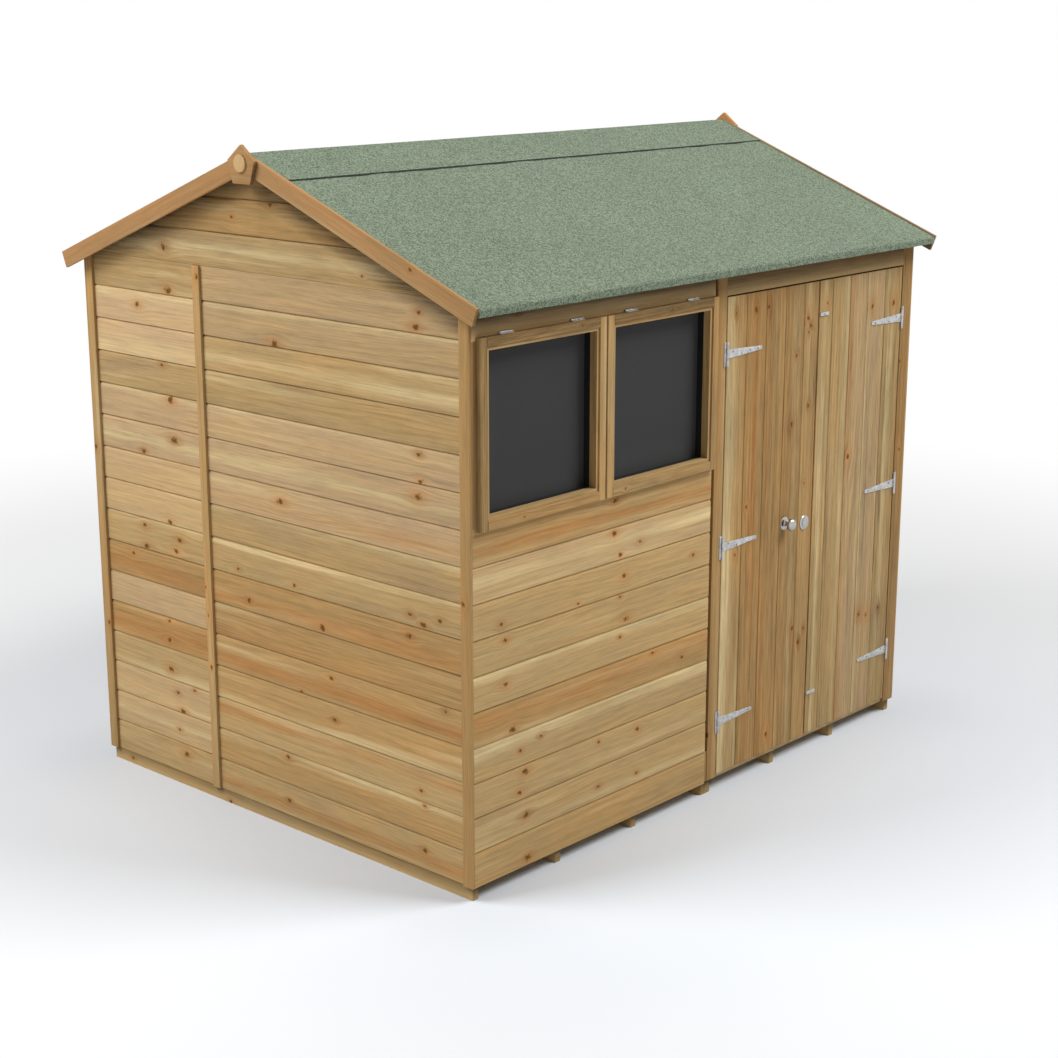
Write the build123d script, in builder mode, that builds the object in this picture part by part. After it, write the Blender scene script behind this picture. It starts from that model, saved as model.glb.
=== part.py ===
from build123d import *
import os
from math import cos, radians, sin, tan

# Wooden garden shed with a ridge roof, double doors and two windows on its long side.
# X runs along the front from left to right, Y from front to back and Z up.
# The origin is on the ground, under the middle of the shed.

# Walls
wall_length = 2400.0
wall_depth = 1862.0
wall_height = 1834.0
cladding = 12.0
trim_thickness = 10.0
trim_width = 42.0
strip_width = 35.0
panel_joint = 2.0
gable_joint = 1248.5
frame_depth = 28.0
frame_width = 40.0
back_bays = 4
side_bays = 3
seat = 0.3
overrun = 5.0

# Base
bearer_height = 46.0
bearer_width = 26.0
bearer_inset = 12.0
bearers_per_floor = 4
floor_thickness = 12.0

# Roof
roof_pitch = 21.3
deck = 12.0
felt = 3.0
felt_drop = 24.0
cap_reach = 200.0
cap_thickness = 2.0
eaves_overhang = 70.0
gable_overhang = 27.0
eaves_batten = 18.0
eaves_batten_lift = 3.0
barge_thickness = 12.0
barge_width = 58.0
barge_rise = 5.0
barge_reach = 2.0
barge_joint = 1.0

# Gable finials
finial_thickness = 14.0
finial_rise = 24.0
finial_height = 122.0
finial_shoulder = 50.0
finial_width = 129.0
finial_foot = 84.0
disc_radius = 28.0
disc_thickness = 6.0
disc_drop = 58.0
disc_round = 2.0

# Windows
window_panel_width = 1183.0
panel_gap = 15.0
sill_height = 1146.0
window_head_height = 104.0
window_margin = 18.0
sash_gap = 7.0
sash_proud = 20.0
sash_face = 31.0
sash_stile = 41.5
sash_bead_step = 5.5
sash_depth = 13.0
sash_lap = 11.0
sash_fit = 1.0
seal_depth = 24.0
pane_thickness = 3.0
sash_hinge_length = 56.0
sash_hinge_radius = 3.5
sash_hinge_leaf = 1.5
sash_hinge_share = 0.22

# Doorway and door leaves
post_width = 50.0
post_lift = 6.0
post_foot_height = 113.0
post_foot_set_back = 3.0
right_post_width = 56.5
door_head_drop = 111.5
door_gap = 5.5
meeting_gap = 7.0
door_lift = 17.5
door_board = 12.0
ledge_height = 90.0
ledge_thickness = 20.0
ledge_inset = 45.0
brace_width = 80.0

# T hinges of the doors
hinge_plate_width = 14.0
hinge_plate_height = 82.0
hinge_plate = 2.5
knuckle_radius = 4.5
knuckle_gap = 0.5
pin_radius = 2.0
pin_play = 0.4
strap_length = 200.0
strap_root = 32.0
strap_tip = 13.0
strap_tip_round = 5.0
left_hinge_shares = (0.1155, 0.491, 0.887)
right_hinge_shares = (0.120, 0.513, 0.888)

# Knob, escutcheon and catches
knob_from_edge = 168.0
knob_height = 849.0
knob_radius = 22.5
knob_reach = 46.0
knob_neck = 8.0
knob_neck_share = 0.45
knob_shoulder_share = 0.66
knob_rim_share = 0.84
knob_crown_share = 0.62
rose_radius = 24.0
rose_thickness = 4.0
rose_face_share = 0.72
escutcheon_from_edge = 46.0
escutcheon_height = 829.0
escutcheon_radius = 27.0
escutcheon_thickness = 4.0
escutcheon_boss = 17.0
escutcheon_boss_height = 8.0
catch_length = 54.0
catch_height = 12.0
catch_thickness = 4.0
catch_from_edge = 0.5
catch_boss = 4.0
catch_boss_height = 2.5
catch_shares = (0.094, 0.930)

# Levels and planes that the pieces share
half_length = wall_length / 2
half_depth = wall_depth / 2
eaves_z = bearer_height + wall_height
floor_top = bearer_height + floor_thickness
gable_face = half_length - trim_thickness
gable_inside = gable_face - cladding
front_inside = half_depth - cladding
frame_inside_x = gable_inside - frame_depth
frame_inside_y = front_inside - frame_depth
joint_y = gable_joint - half_depth
slope = radians(roof_pitch)
roof_half = half_length + gable_overhang
deck_edge = half_depth + eaves_overhang - felt
barge_face = roof_half + barge_thickness
plate_bottom = eaves_z - frame_width

post_left = window_panel_width - gable_face
door_left = post_left + post_width
door_right = gable_face - right_post_width
door_back = half_depth - door_board
leaf_width = (door_right - door_left - 2 * door_gap - meeting_gap) / 2
leaf_bottom = bearer_height + door_lift
head_bottom = eaves_z - door_head_drop
leaf_top = head_bottom - door_gap
leaf_height = leaf_top - leaf_bottom

sill_z = bearer_height + sill_height
sash_top = eaves_z - window_head_height
sash_height = sash_top - sill_z
sash_width = (window_panel_width - sash_gap) / 2 - window_margin
window_middle = (post_left - gable_face) / 2
opening_low = sill_z + sash_lap
opening_high = sash_top - sash_lap
opening_half = sash_width / 2 - sash_lap
sash_offset = (sash_width + sash_gap) / 2

os.makedirs("parts", exist_ok=True)


def save(piece, name):
    """Label a finished piece and write it as its own file."""
    piece.part.label = name
    export_step(piece.part, f"parts/{name}.step")


def block(x, y, z):
    """Add a box that spans the given pairs of low and high values."""
    with Locations((sum(x) / 2, sum(y) / 2, sum(z) / 2)):
        Box(x[1] - x[0], y[1] - y[0], z[1] - z[0])


def facing_front(y):
    """Upright plane at the given Y, whose normal looks out of the front."""
    return Plane.XZ.offset(-y)


def underside(y):
    """Height of the roof deck's underside above the given Y."""
    return eaves_z + (half_depth - abs(y)) * tan(slope)


def lifted(y, thickness):
    """Height above the underside, at the given Y, of a layer measured square to the slope."""
    return underside(y) + thickness / cos(slope)


def prism(points, half):
    """Add an outline drawn in Y and Z, drawn out both ways along X."""
    with BuildSketch(Plane.YZ) as outline:
        with BuildLine():
            Polyline(*points, close=True)
        make_face()
    extrude(outline.sketch, amount=half, both=True)


def upright(x, y, z, radius, mode=Mode.ADD):
    """Add or cut an upright round bar that spans the given pair of heights."""
    with Locations((x, y, sum(z) / 2)):
        Cylinder(radius, z[1] - z[0], mode=mode)


# Floor bearers, in two sets of four under the two halves of the floor
bearer_end = half_length - bearer_inset
bearer_step = (bearer_end - bearer_width) / (bearers_per_floor - 1)

with BuildPart() as bearers_left:
    for number in range(bearers_per_floor):
        low = -bearer_end + number * bearer_step
        block((low, low + bearer_width), (-front_inside, front_inside), (0, bearer_height))
save(bearers_left, "bearers_left")

with BuildPart() as bearers_right:
    for number in range(bearers_per_floor):
        low = number * bearer_step
        block((low, low + bearer_width), (-front_inside, front_inside), (0, bearer_height))
save(bearers_right, "bearers_right")

# Floor, two halves that meet over the middle bearers
with BuildPart() as floor_left:
    block((-gable_inside, 0), (-front_inside, front_inside), (bearer_height, floor_top))
save(floor_left, "floor_left")

with BuildPart() as floor_right:
    block((0, gable_inside), (-front_inside, front_inside), (bearer_height, floor_top))
save(floor_right, "floor_right")

# Gable walls, each of a wide front panel and a narrow rear panel
wall_span = (bearer_height, eaves_z)
front_panel_y = (-front_inside, joint_y - panel_joint / 2)
rear_panel_y = (joint_y + panel_joint / 2, front_inside)


def gable_wall(low_x, name):
    """Two panels of cladding side by side, from low_x inwards or outwards by the cladding."""
    with BuildPart() as panels:
        for span in (front_panel_y, rear_panel_y):
            block((low_x, low_x + cladding), span, wall_span)
    save(panels, name)


gable_wall(-gable_face, "left_wall_panels")
gable_wall(gable_inside, "right_wall_panels")


def gable_triangle(low_x, name):
    """Cladding of the gable above the eaves, up to the roof deck."""
    with BuildPart() as triangle:
        with BuildSketch(Plane.YZ.offset(low_x)):
            with BuildLine():
                Polyline(
                    (-front_inside, eaves_z),
                    (front_inside, eaves_z),
                    (front_inside, underside(front_inside)),
                    (0, underside(0)),
                    (-front_inside, underside(front_inside)),
                    close=True,
                )
            make_face()
        extrude(amount=cladding)
    save(triangle, name)


gable_triangle(-gable_face, "left_gable")
gable_triangle(gable_inside, "right_gable")

# Back wall, two equal panels
with BuildPart() as back_wall_panels:
    block((panel_joint / 2, gable_face), (front_inside, half_depth), wall_span)
    mirror(about=Plane.YZ)
save(back_wall_panels, "back_wall_panels")

# Corner trims on the gable faces, and strips over the joints of the panels
with BuildPart() as corner_trims:
    block((gable_face, half_length), (half_depth - trim_width, half_depth), wall_span)
    mirror(about=Plane.YZ)
    mirror(about=Plane.XZ)
save(corner_trims, "corner_trims")

with BuildPart() as cover_strips:
    strip_y = (joint_y - strip_width / 2, joint_y + strip_width / 2)
    block((gable_face, half_length), strip_y, wall_span)
    mirror(about=Plane.YZ)
    back_strip_y = (half_depth, half_depth + trim_thickness)
    back_strip_z = (bearer_height, underside(half_depth + trim_thickness))
    block((-strip_width / 2, strip_width / 2), back_strip_y, back_strip_z)
save(cover_strips, "cover_strips")

# Front wall beside the doors: cladding below the windows, posts between them and a head board
cladding_y = (-half_depth, -front_inside)
panel_end = post_left - panel_gap

with BuildPart() as front_window_panel:
    block((-gable_face, panel_end), cladding_y, (bearer_height, opening_low))
save(front_window_panel, "front_window_panel")

left_opening = window_middle - sash_offset
right_opening = window_middle + sash_offset
window_post_z = (opening_low, opening_high)

with BuildPart() as window_posts:
    block((-gable_face, left_opening - opening_half), cladding_y, window_post_z)
    block((left_opening + opening_half, right_opening - opening_half), cladding_y, window_post_z)
    block((right_opening + opening_half, panel_end), cladding_y, window_post_z)
save(window_posts, "window_posts")

with BuildPart() as window_head:
    block((-gable_face, panel_end), cladding_y, (opening_high, eaves_z))
save(window_head, "window_head")


# Window sashes, with a proud outer frame, a bead set back from it and a stem inside the opening
def ring(middle, outer_inset, inner_inset):
    """Flat frame between two insets from the sash's outer edge."""
    with Locations((middle, sill_z + sash_height / 2)):
        Rectangle(sash_width - 2 * outer_inset, sash_height - 2 * outer_inset)
        Rectangle(sash_width - 2 * inner_inset, sash_height - 2 * inner_inset, mode=Mode.SUBTRACT)


stem_inset = sash_lap + sash_fit
sash_front = half_depth + sash_proud
stem_back = half_depth - sash_depth
seal_back = stem_back - seal_depth


def window_sash(middle, name):
    """Sash frame as one joined piece of wood."""
    with BuildPart() as sash:
        with BuildSketch(facing_front(-sash_front)):
            ring(middle, 0, sash_face)
        extrude(amount=-sash_proud)
        with BuildSketch(facing_front(-sash_front + sash_bead_step)):
            ring(middle, stem_inset, sash_stile)
        extrude(amount=-(sash_proud - sash_bead_step + sash_depth))
    save(sash, name)


window_sash(left_opening, "left_sash")
window_sash(right_opening, "right_sash")

with BuildPart() as window_seals:
    for middle in (left_opening, right_opening):
        with BuildSketch(facing_front(-stem_back)):
            ring(middle, stem_inset, sash_stile)
        extrude(amount=-seal_depth)
save(window_seals, "window_seals")

with BuildPart() as window_panes:
    with BuildSketch(facing_front(-seal_back)):
        with Locations(*((middle, sill_z + sash_height / 2) for middle in (left_opening, right_opening))):
            Rectangle(sash_width - 2 * stem_inset, sash_height - 2 * stem_inset)
    extrude(amount=-pane_thickness)
save(window_panes, "window_panes")

# Butt hinges along the top of each sash, with a leaf on the sash and a knuckle at the wall
with BuildPart() as window_hinges:
    knuckle_y = -half_depth - sash_hinge_radius
    knuckle_z = sash_top + sash_hinge_radius
    hinge_spread = sash_width * (1 / 2 - sash_hinge_share)
    for middle in (left_opening, right_opening):
        for side in (-1, 1):
            hinge_x = middle + side * hinge_spread
            half = sash_hinge_length / 2
            leaf_y = (-sash_front + sash_bead_step, knuckle_y)
            block((hinge_x - half, hinge_x + half), leaf_y, (sash_top, sash_top + sash_hinge_leaf))
            with BuildSketch(Plane.YZ.offset(hinge_x - half)):
                with Locations((knuckle_y, knuckle_z)):
                    Circle(sash_hinge_radius)
            extrude(amount=sash_hinge_length)
save(window_hinges, "window_hinges")

# Door posts and the head over the doors
post_y = (-half_depth, -front_inside)
foot_y = (-half_depth + post_foot_set_back, -front_inside)
foot_z = (bearer_height + post_lift, bearer_height + post_lift + post_foot_height)

with BuildPart() as door_post_left:
    block((post_left, door_left), post_y, (bearer_height + post_lift, eaves_z))
    block((panel_end, post_left), foot_y, foot_z)
save(door_post_left, "door_post_left")

with BuildPart() as door_post_right:
    block((door_right, gable_face), post_y, wall_span)
save(door_post_right, "door_post_right")

with BuildPart() as door_head:
    block((door_left, door_right), post_y, (head_bottom, eaves_z))
save(door_head, "door_head")

# Studs and plates inside the walls, each seated a hair from the next
frame_y = (-front_inside, -frame_inside_y)
bottom_plate_z = (floor_top, floor_top + frame_width)
top_plate_z = (plate_bottom, eaves_z)
stud_z = (floor_top + frame_width + seat, plate_bottom - seat)
sill_rail_z = (opening_low - frame_width, opening_low)

with BuildPart() as front_frame:
    block((-gable_inside, gable_inside), frame_y, top_plate_z)
    window_stud_left = left_opening - opening_half
    window_stud_right = right_opening + opening_half
    block((-gable_inside, post_left - seat), frame_y, bottom_plate_z)
    block((-gable_inside, window_stud_left), frame_y, stud_z)
    block((window_stud_right, post_left - seat), frame_y, stud_z)
    block((post_left, door_left), frame_y, (floor_top, plate_bottom - seat))
    block((door_right, gable_inside), frame_y, (floor_top, plate_bottom - seat))
    block((window_stud_left + seat, window_stud_right - seat), frame_y, sill_rail_z)
    mullion = (left_opening + opening_half, right_opening - opening_half)
    block(mullion, frame_y, (opening_low + seat, plate_bottom - seat))
    block(mullion, frame_y, (floor_top + frame_width + seat, opening_low - frame_width - seat))
save(front_frame, "front_frame")

with BuildPart() as back_frame:
    back_y = (frame_inside_y, front_inside)
    block((-gable_inside, gable_inside), back_y, top_plate_z)
    block((-gable_inside, gable_inside), back_y, bottom_plate_z)
    back_step = (2 * gable_inside - frame_width) / back_bays
    for number in range(back_bays + 1):
        low = -gable_inside + number * back_step
        block((low, low + frame_width), back_y, stud_z)
save(back_frame, "back_frame")

with BuildPart() as side_frames:
    side_x = (frame_inside_x, gable_inside)
    side_end = frame_inside_y - seat
    block(side_x, (-side_end, side_end), top_plate_z)
    block(side_x, (-side_end, side_end), bottom_plate_z)
    side_step = (2 * side_end - frame_width) / side_bays
    for number in range(side_bays + 1):
        low = -side_end + number * side_step
        block(side_x, (low, low + frame_width), stud_z)
    for side in (-1, 1):
        with BuildSketch(Plane.YZ.offset(frame_inside_x)):
            with BuildLine():
                rafter_low = eaves_z + seat
                rafter_foot = half_depth - (rafter_low + frame_width - eaves_z) / tan(slope)
                Polyline(
                    (side * seat, underside(0) - frame_width),
                    (side * seat, underside(seat)),
                    (side * side_end, underside(side_end)),
                    (side * side_end, rafter_low),
                    (side * rafter_foot, rafter_low),
                    close=True,
                )
            make_face()
        extrude(amount=frame_depth)
    mirror(about=Plane.YZ)
save(side_frames, "side_frames")

# Roof deck, two slopes that meet on the ridge
felt_top = deck + felt

with BuildPart() as back_roof_deck:
    prism(
        [
            (0, underside(0)),
            (deck_edge, underside(deck_edge)),
            (deck_edge, lifted(deck_edge, deck)),
            (0, lifted(0, deck)),
        ],
        roof_half,
    )
save(back_roof_deck, "back_roof_deck")

with BuildPart() as front_roof_deck:
    mirror(back_roof_deck.part, about=Plane.XZ)
save(front_roof_deck, "front_roof_deck")

# Felt on each slope, turned down over the eaves
felt_edge = deck_edge + felt
drop_z = lifted(felt_edge, felt_top) - felt_drop

with BuildPart() as back_felt:
    prism(
        [
            (0, lifted(0, deck)),
            (deck_edge, lifted(deck_edge, deck)),
            (deck_edge, drop_z),
            (felt_edge, drop_z),
            (felt_edge, lifted(felt_edge, felt_top)),
            (0, lifted(0, felt_top)),
        ],
        roof_half,
    )
save(back_felt, "back_felt")

with BuildPart() as front_felt:
    mirror(back_felt.part, about=Plane.XZ)
save(front_felt, "front_felt")

# Capping strip of felt folded over the ridge
cap_y = cap_reach * cos(slope)
cap_top = felt_top + cap_thickness

with BuildPart() as ridge_cap:
    prism(
        [
            (-cap_y, lifted(cap_y, felt_top)),
            (0, lifted(0, felt_top)),
            (cap_y, lifted(cap_y, felt_top)),
            (cap_y, lifted(cap_y, cap_top)),
            (0, lifted(0, cap_top)),
            (-cap_y, lifted(cap_y, cap_top)),
        ],
        roof_half,
    )
save(ridge_cap, "ridge_cap")

# Battens under the eaves edges, behind the turned-down felt
batten_low = drop_z + eaves_batten_lift
batten_inside = deck_edge - eaves_batten

with BuildPart() as eaves_battens:
    prism(
        [
            (batten_inside, batten_low),
            (deck_edge, batten_low),
            (deck_edge, underside(deck_edge)),
            (batten_inside, underside(batten_inside)),
        ],
        roof_half,
    )
    mirror(about=Plane.XZ)
save(eaves_battens, "eaves_battens")

# Bargeboards, with square-cut lower ends and a plumb joint at the ridge
barge_end = felt_edge + barge_reach
barge_top = felt_top + barge_rise


def bargeboards(inner_x, name):
    """The two boards of one gable, from inner_x outwards."""
    with BuildPart() as boards:
        with BuildSketch(Plane.YZ.offset(inner_x)):
            with BuildLine():
                peak = barge_joint / 2
                Polyline(
                    (peak, lifted(peak, barge_top)),
                    (barge_end, lifted(barge_end, barge_top)),
                    (
                        barge_end - barge_width * sin(slope),
                        lifted(barge_end, barge_top) - barge_width * cos(slope),
                    ),
                    (peak, lifted(peak, barge_top - barge_width)),
                    close=True,
                )
            make_face()
        extrude(amount=barge_thickness)
        mirror(about=Plane.XZ)
    save(boards, name)


bargeboards(-barge_face, "left_bargeboards")
bargeboards(roof_half, "right_bargeboards")

# Finials over the joints of the bargeboards, each with a round disc
finial_top = lifted(0, barge_top) + finial_rise
finial_low = finial_top - finial_height
finial_side = finial_top - finial_shoulder
finial_face = barge_face + finial_thickness

with BuildPart() as finials:
    with BuildSketch(Plane.YZ.offset(barge_face)):
        with BuildLine():
            Polyline(
                (0, finial_top),
                (finial_width / 2, finial_side),
                (finial_foot / 2, finial_low),
                (-finial_foot / 2, finial_low),
                (-finial_width / 2, finial_side),
                close=True,
            )
        make_face()
    extrude(amount=finial_thickness)
    mirror(about=Plane.YZ)
save(finials, "finials")

with BuildPart() as finial_discs:
    with BuildSketch(Plane.YZ.offset(finial_face)):
        with Locations((0, finial_top - disc_drop)):
            Circle(disc_radius)
    extrude(amount=disc_thickness)
    fillet(finial_discs.edges().sort_by(Axis.X)[-1], disc_round)
    mirror(about=Plane.YZ)
save(finial_discs, "finial_discs")

# Door leaves, boarded upright, with ledges and braces across the inside
left_leaf_x = (door_left + door_gap, door_left + door_gap + leaf_width)
right_leaf_x = (door_right - door_gap - leaf_width, door_right - door_gap)
left_pin_x = door_left + door_gap / 2
right_pin_x = door_right - door_gap / 2
pin_y = -half_depth - knuckle_radius


def hinge_z(share):
    """Height of a hinge or a ledge at a share of the leaf's height."""
    return leaf_bottom + share * leaf_height


def door_leaf(span, name):
    """The upright boards of one leaf."""
    with BuildPart() as leaf:
        block(span, (-half_depth, -door_back), (leaf_bottom, leaf_top))
    save(leaf, name)


def door_ledges(span, shares, hinge_side, name):
    """Three ledges behind the hinges, with braces that rise from the hinge side."""
    low_x = span[0] + ledge_inset
    high_x = span[1] - ledge_inset
    foot_x, head_x = (low_x, high_x) if hinge_side < 0 else (high_x, low_x)
    lean = -hinge_side * brace_width
    with BuildPart() as ledges:
        for share in shares:
            middle = hinge_z(share)
            ledge_z = (middle - ledge_height / 2, middle + ledge_height / 2)
            block((low_x, high_x), (-door_back, -door_back + ledge_thickness), ledge_z)
        for lower, upper in zip(shares, shares[1:]):
            brace_low = hinge_z(lower) + ledge_height / 2 + seat
            brace_high = hinge_z(upper) - ledge_height / 2 - seat
            with BuildSketch(facing_front(-door_back)):
                with BuildLine():
                    Polyline(
                        (foot_x, brace_low),
                        (foot_x + lean, brace_low),
                        (head_x, brace_high),
                        (head_x - lean, brace_high),
                        close=True,
                    )
                make_face()
            extrude(amount=-ledge_thickness)
    save(ledges, name)


door_leaf(left_leaf_x, "left_door")
door_leaf(right_leaf_x, "right_door")
door_ledges(left_leaf_x, left_hinge_shares, -1, "left_door_ledges")
door_ledges(right_leaf_x, right_hinge_shares, 1, "right_door_ledges")


# T hinges: an upright plate with two knuckles and the pin on the post, a tapered strap on the leaf
def hinge_plate_solid(pin_x, middle, post_side):
    """Plate on the post side of the pin, with its knuckles above and below the strap's."""
    half = hinge_plate_height / 2
    strap_half = strap_root / 2 + knuckle_gap
    inner = pin_x + post_side * (knuckle_radius + knuckle_gap)
    outer = pin_x + post_side * hinge_plate_width
    plate_y = (-half_depth - hinge_plate, -half_depth)
    block((min(inner, outer), max(inner, outer)), plate_y, (middle - half, middle + half))
    for low, high in ((-half, -strap_half), (strap_half, half)):
        block((min(pin_x, inner), max(pin_x, inner)), plate_y, (middle + low, middle + high))
        upright(pin_x, pin_y, (middle + low, middle + high), knuckle_radius)
    upright(pin_x, pin_y, (middle - half, middle + half), pin_radius)


def hinge_strap_solid(pin_x, middle, post_side):
    """Tapered strap with the middle knuckle, bored for the pin."""
    root = strap_root / 2
    tip = strap_tip / 2
    tip_x = pin_x - post_side * strap_length
    with BuildSketch(facing_front(-half_depth)) as outline:
        with BuildLine():
            Polyline(
                (pin_x, middle - root),
                (tip_x, middle - tip),
                (tip_x, middle + tip),
                (pin_x, middle + root),
                close=True,
            )
        make_face()
        tip_corners = outline.vertices().sort_by(Axis.X)
        fillet(tip_corners[:2] if post_side > 0 else tip_corners[-2:], strap_tip_round)
    extrude(outline.sketch, amount=hinge_plate)
    upright(pin_x, pin_y, (middle - root, middle + root), knuckle_radius)
    bore_z = (middle - root - overrun, middle + root + overrun)
    upright(pin_x, pin_y, bore_z, pin_radius + pin_play, Mode.SUBTRACT)


with BuildPart() as hinge_plates:
    for share in left_hinge_shares:
        hinge_plate_solid(left_pin_x, hinge_z(share), -1)
    for share in right_hinge_shares:
        hinge_plate_solid(right_pin_x, hinge_z(share), 1)
save(hinge_plates, "hinge_plates")

with BuildPart() as left_hinge_straps:
    for share in left_hinge_shares:
        hinge_strap_solid(left_pin_x, hinge_z(share), -1)
save(left_hinge_straps, "left_hinge_straps")

with BuildPart() as right_hinge_straps:
    for share in right_hinge_shares:
        hinge_strap_solid(right_pin_x, hinge_z(share), 1)
save(right_hinge_straps, "right_hinge_straps")

# Turned knob on the left leaf
knob_x = left_leaf_x[1] - knob_from_edge
knob_z = leaf_bottom + knob_height

with BuildPart() as door_knob:
    with BuildSketch(Plane(origin=(knob_x, -half_depth, knob_z), x_dir=(1, 0, 0), z_dir=(0, 0, -1))):
        with BuildLine():
            Polyline(
                (0, 0),
                (rose_radius, 0),
                (rose_radius, rose_thickness / 2),
                (rose_radius * rose_face_share, rose_thickness),
                (knob_neck, rose_thickness),
                (knob_neck, knob_reach * knob_neck_share),
                (knob_radius, knob_reach * knob_shoulder_share),
                (knob_radius, knob_reach * knob_rim_share),
                (knob_radius * knob_crown_share, knob_reach),
                (0, knob_reach),
                close=True,
            )
        make_face()
    revolve(axis=Axis((knob_x, -half_depth, knob_z), (0, -1, 0)))
save(door_knob, "door_knob")

# Round key escutcheon beside the meeting edge
escutcheon_x = left_leaf_x[1] - escutcheon_from_edge
escutcheon_z = leaf_bottom + escutcheon_height

with BuildPart() as door_escutcheon:
    for radius, depth in (
        (escutcheon_radius, escutcheon_thickness),
        (escutcheon_boss, escutcheon_boss_height),
    ):
        with BuildSketch(facing_front(-half_depth)):
            with Locations((escutcheon_x, escutcheon_z)):
                Circle(radius)
        extrude(amount=depth)
save(door_escutcheon, "door_escutcheon")

# Turn catches on the right leaf, beside the meeting edge
catch_middle = right_leaf_x[0] + catch_from_edge + catch_length / 2

with BuildPart() as door_catches:
    for share in catch_shares:
        with BuildSketch(facing_front(-half_depth)):
            with Locations((catch_middle, hinge_z(share))):
                SlotOverall(catch_length, catch_height)
        extrude(amount=catch_thickness)
        with BuildSketch(facing_front(-half_depth - catch_thickness)):
            with Locations((catch_middle, hinge_z(share))):
                Circle(catch_boss)
        extrude(amount=catch_boss_height)
save(door_catches, "door_catches")
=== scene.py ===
"""Wooden garden shed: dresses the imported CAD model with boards, finishes, a stage and a camera."""

import math
import random

import bmesh
import bpy
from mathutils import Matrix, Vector, noise


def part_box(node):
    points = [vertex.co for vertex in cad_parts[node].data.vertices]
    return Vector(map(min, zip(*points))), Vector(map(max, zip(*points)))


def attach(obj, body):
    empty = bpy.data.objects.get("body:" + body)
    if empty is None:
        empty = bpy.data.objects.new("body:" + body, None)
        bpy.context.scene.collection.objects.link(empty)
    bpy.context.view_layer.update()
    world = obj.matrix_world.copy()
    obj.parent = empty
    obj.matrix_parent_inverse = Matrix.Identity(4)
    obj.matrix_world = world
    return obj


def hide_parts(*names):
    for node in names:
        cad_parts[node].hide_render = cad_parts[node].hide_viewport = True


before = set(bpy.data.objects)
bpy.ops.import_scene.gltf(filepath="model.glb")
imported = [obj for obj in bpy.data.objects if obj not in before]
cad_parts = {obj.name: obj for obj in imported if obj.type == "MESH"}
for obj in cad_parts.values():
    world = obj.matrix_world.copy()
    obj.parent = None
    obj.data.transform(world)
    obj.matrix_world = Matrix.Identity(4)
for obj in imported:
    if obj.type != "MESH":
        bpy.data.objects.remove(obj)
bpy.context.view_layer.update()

bl_info = {
    "name": "Wooden garden shed",
    "version": (1, 0, 0),
    "blender": (4, 5, 0),
    "location": "View3D > Sidebar > Shed",
    "description": "Builds the boards, roof, windows, doors and fittings of a garden shed around its CAD"
                   " model",
    "category": "Object",
}

X, Y, Z = Vector((1, 0, 0)), Vector((0, 1, 0)), Vector((0, 0, 1))
ROOF_PITCH = math.radians(21.3)
MAPS = ("grain", "knot", "tone", "streak")
# Place on the knot map where no knot is near, and how many radii a knot reaches along its board
FAR = (30.0, 30.0)
KNOT_REACH = 7.0
# Angles past which an edge is shaded sharp, and is one of a plank's own edges
SHARP = math.radians(32)
CREASE = 0.5
STRIP_HALF = 0.0175
PANEL_GAP = 0.002
STEEL_ARRIS = 0.0004
# Middles of the two panes across, and their middle height, from which painted light on the panes grows towards
# edges and top
PANE_MIDDLES = (-0.887, -0.310)
PANE_HEIGHT = 1.484
# On a plain wall: spacing of the columns of knots, and how far above the wall a gable has them
SIDE_KNOT_SPACING = 0.4
GABLE_KNOT_RISE = 0.3
# Painted shadow under the bargeboards. Under the front and the back slope: depth down to which a gable
# board is painted darkest, depth where that ends, and how dark it is
SLOPE_PAINTED_SHADOW = ((0.080, 0.135, 0.46), (0.020, 0.066, 0.50))

# Tones of a board: how warm it is, from a washed pink to orange, and how light it is
TONES = {
    "tan": (0.0, 0.0),
    "pale": (-0.45, 0.09),
    "pink": (-0.8, 0.0),
    "olive": (-0.05, -0.09),
    "honey": (0.4, 0.0),
    "orange": (0.68, -0.02),
    "brown": (0.55, -0.10),
    "dark": (0.45, -0.22),
    # Painted shade under the bargeboards, for the top boards of the left gable
    "shade": (-0.1, -0.2),
    "rose": (-0.55, -0.09),
    "blush": (-0.95, 0.07),
    "gold": (0.15, 0.12),
    "amber": (0.4, 0.16),
    # Painted shade of the eaves on the sashes' top rails
    "eave_shadow": (0.2, -0.40),
    # Painted light at the foot of the window head, below its painted shadow of the eaves
    "painted_lit_foot": (0.0, 0.60),
}

# Boards of the left gable wall from the top down, as tone and, for a marked streak, its place up the board,
# its half width and its strength, from stained below nought to pale above it
# Painted shade under the bargeboards: the top two rows take the darker rose tone
FRONT_PANEL = [
    ("rose", None), ("rose", (0.93, 0.12, 0.6)), ("tan", (0.42, 0.16, 0.7)), ("olive", None),
    ("pink", (0.9, 0.1, 0.4)), ("pink", (0.45, 0.12, 0.6)), ("pink", (0.3, 0.2, -0.5)),
    ("olive", (0.95, 0.1, 0.5)), ("tan", (0.93, 0.1, 0.7)), ("orange", (0.35, 0.2, -0.5)),
    ("brown", (0.12, 0.2, -0.3)), ("honey", (0.35, 0.22, -1.0)), ("honey", (0.06, 0.12, 0.6)),
    ("tan", (0.75, 0.16, -0.8)), ("honey", (0.9, 0.12, 0.5)), ("tan", (0.3, 0.16, -0.6)),
]
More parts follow.
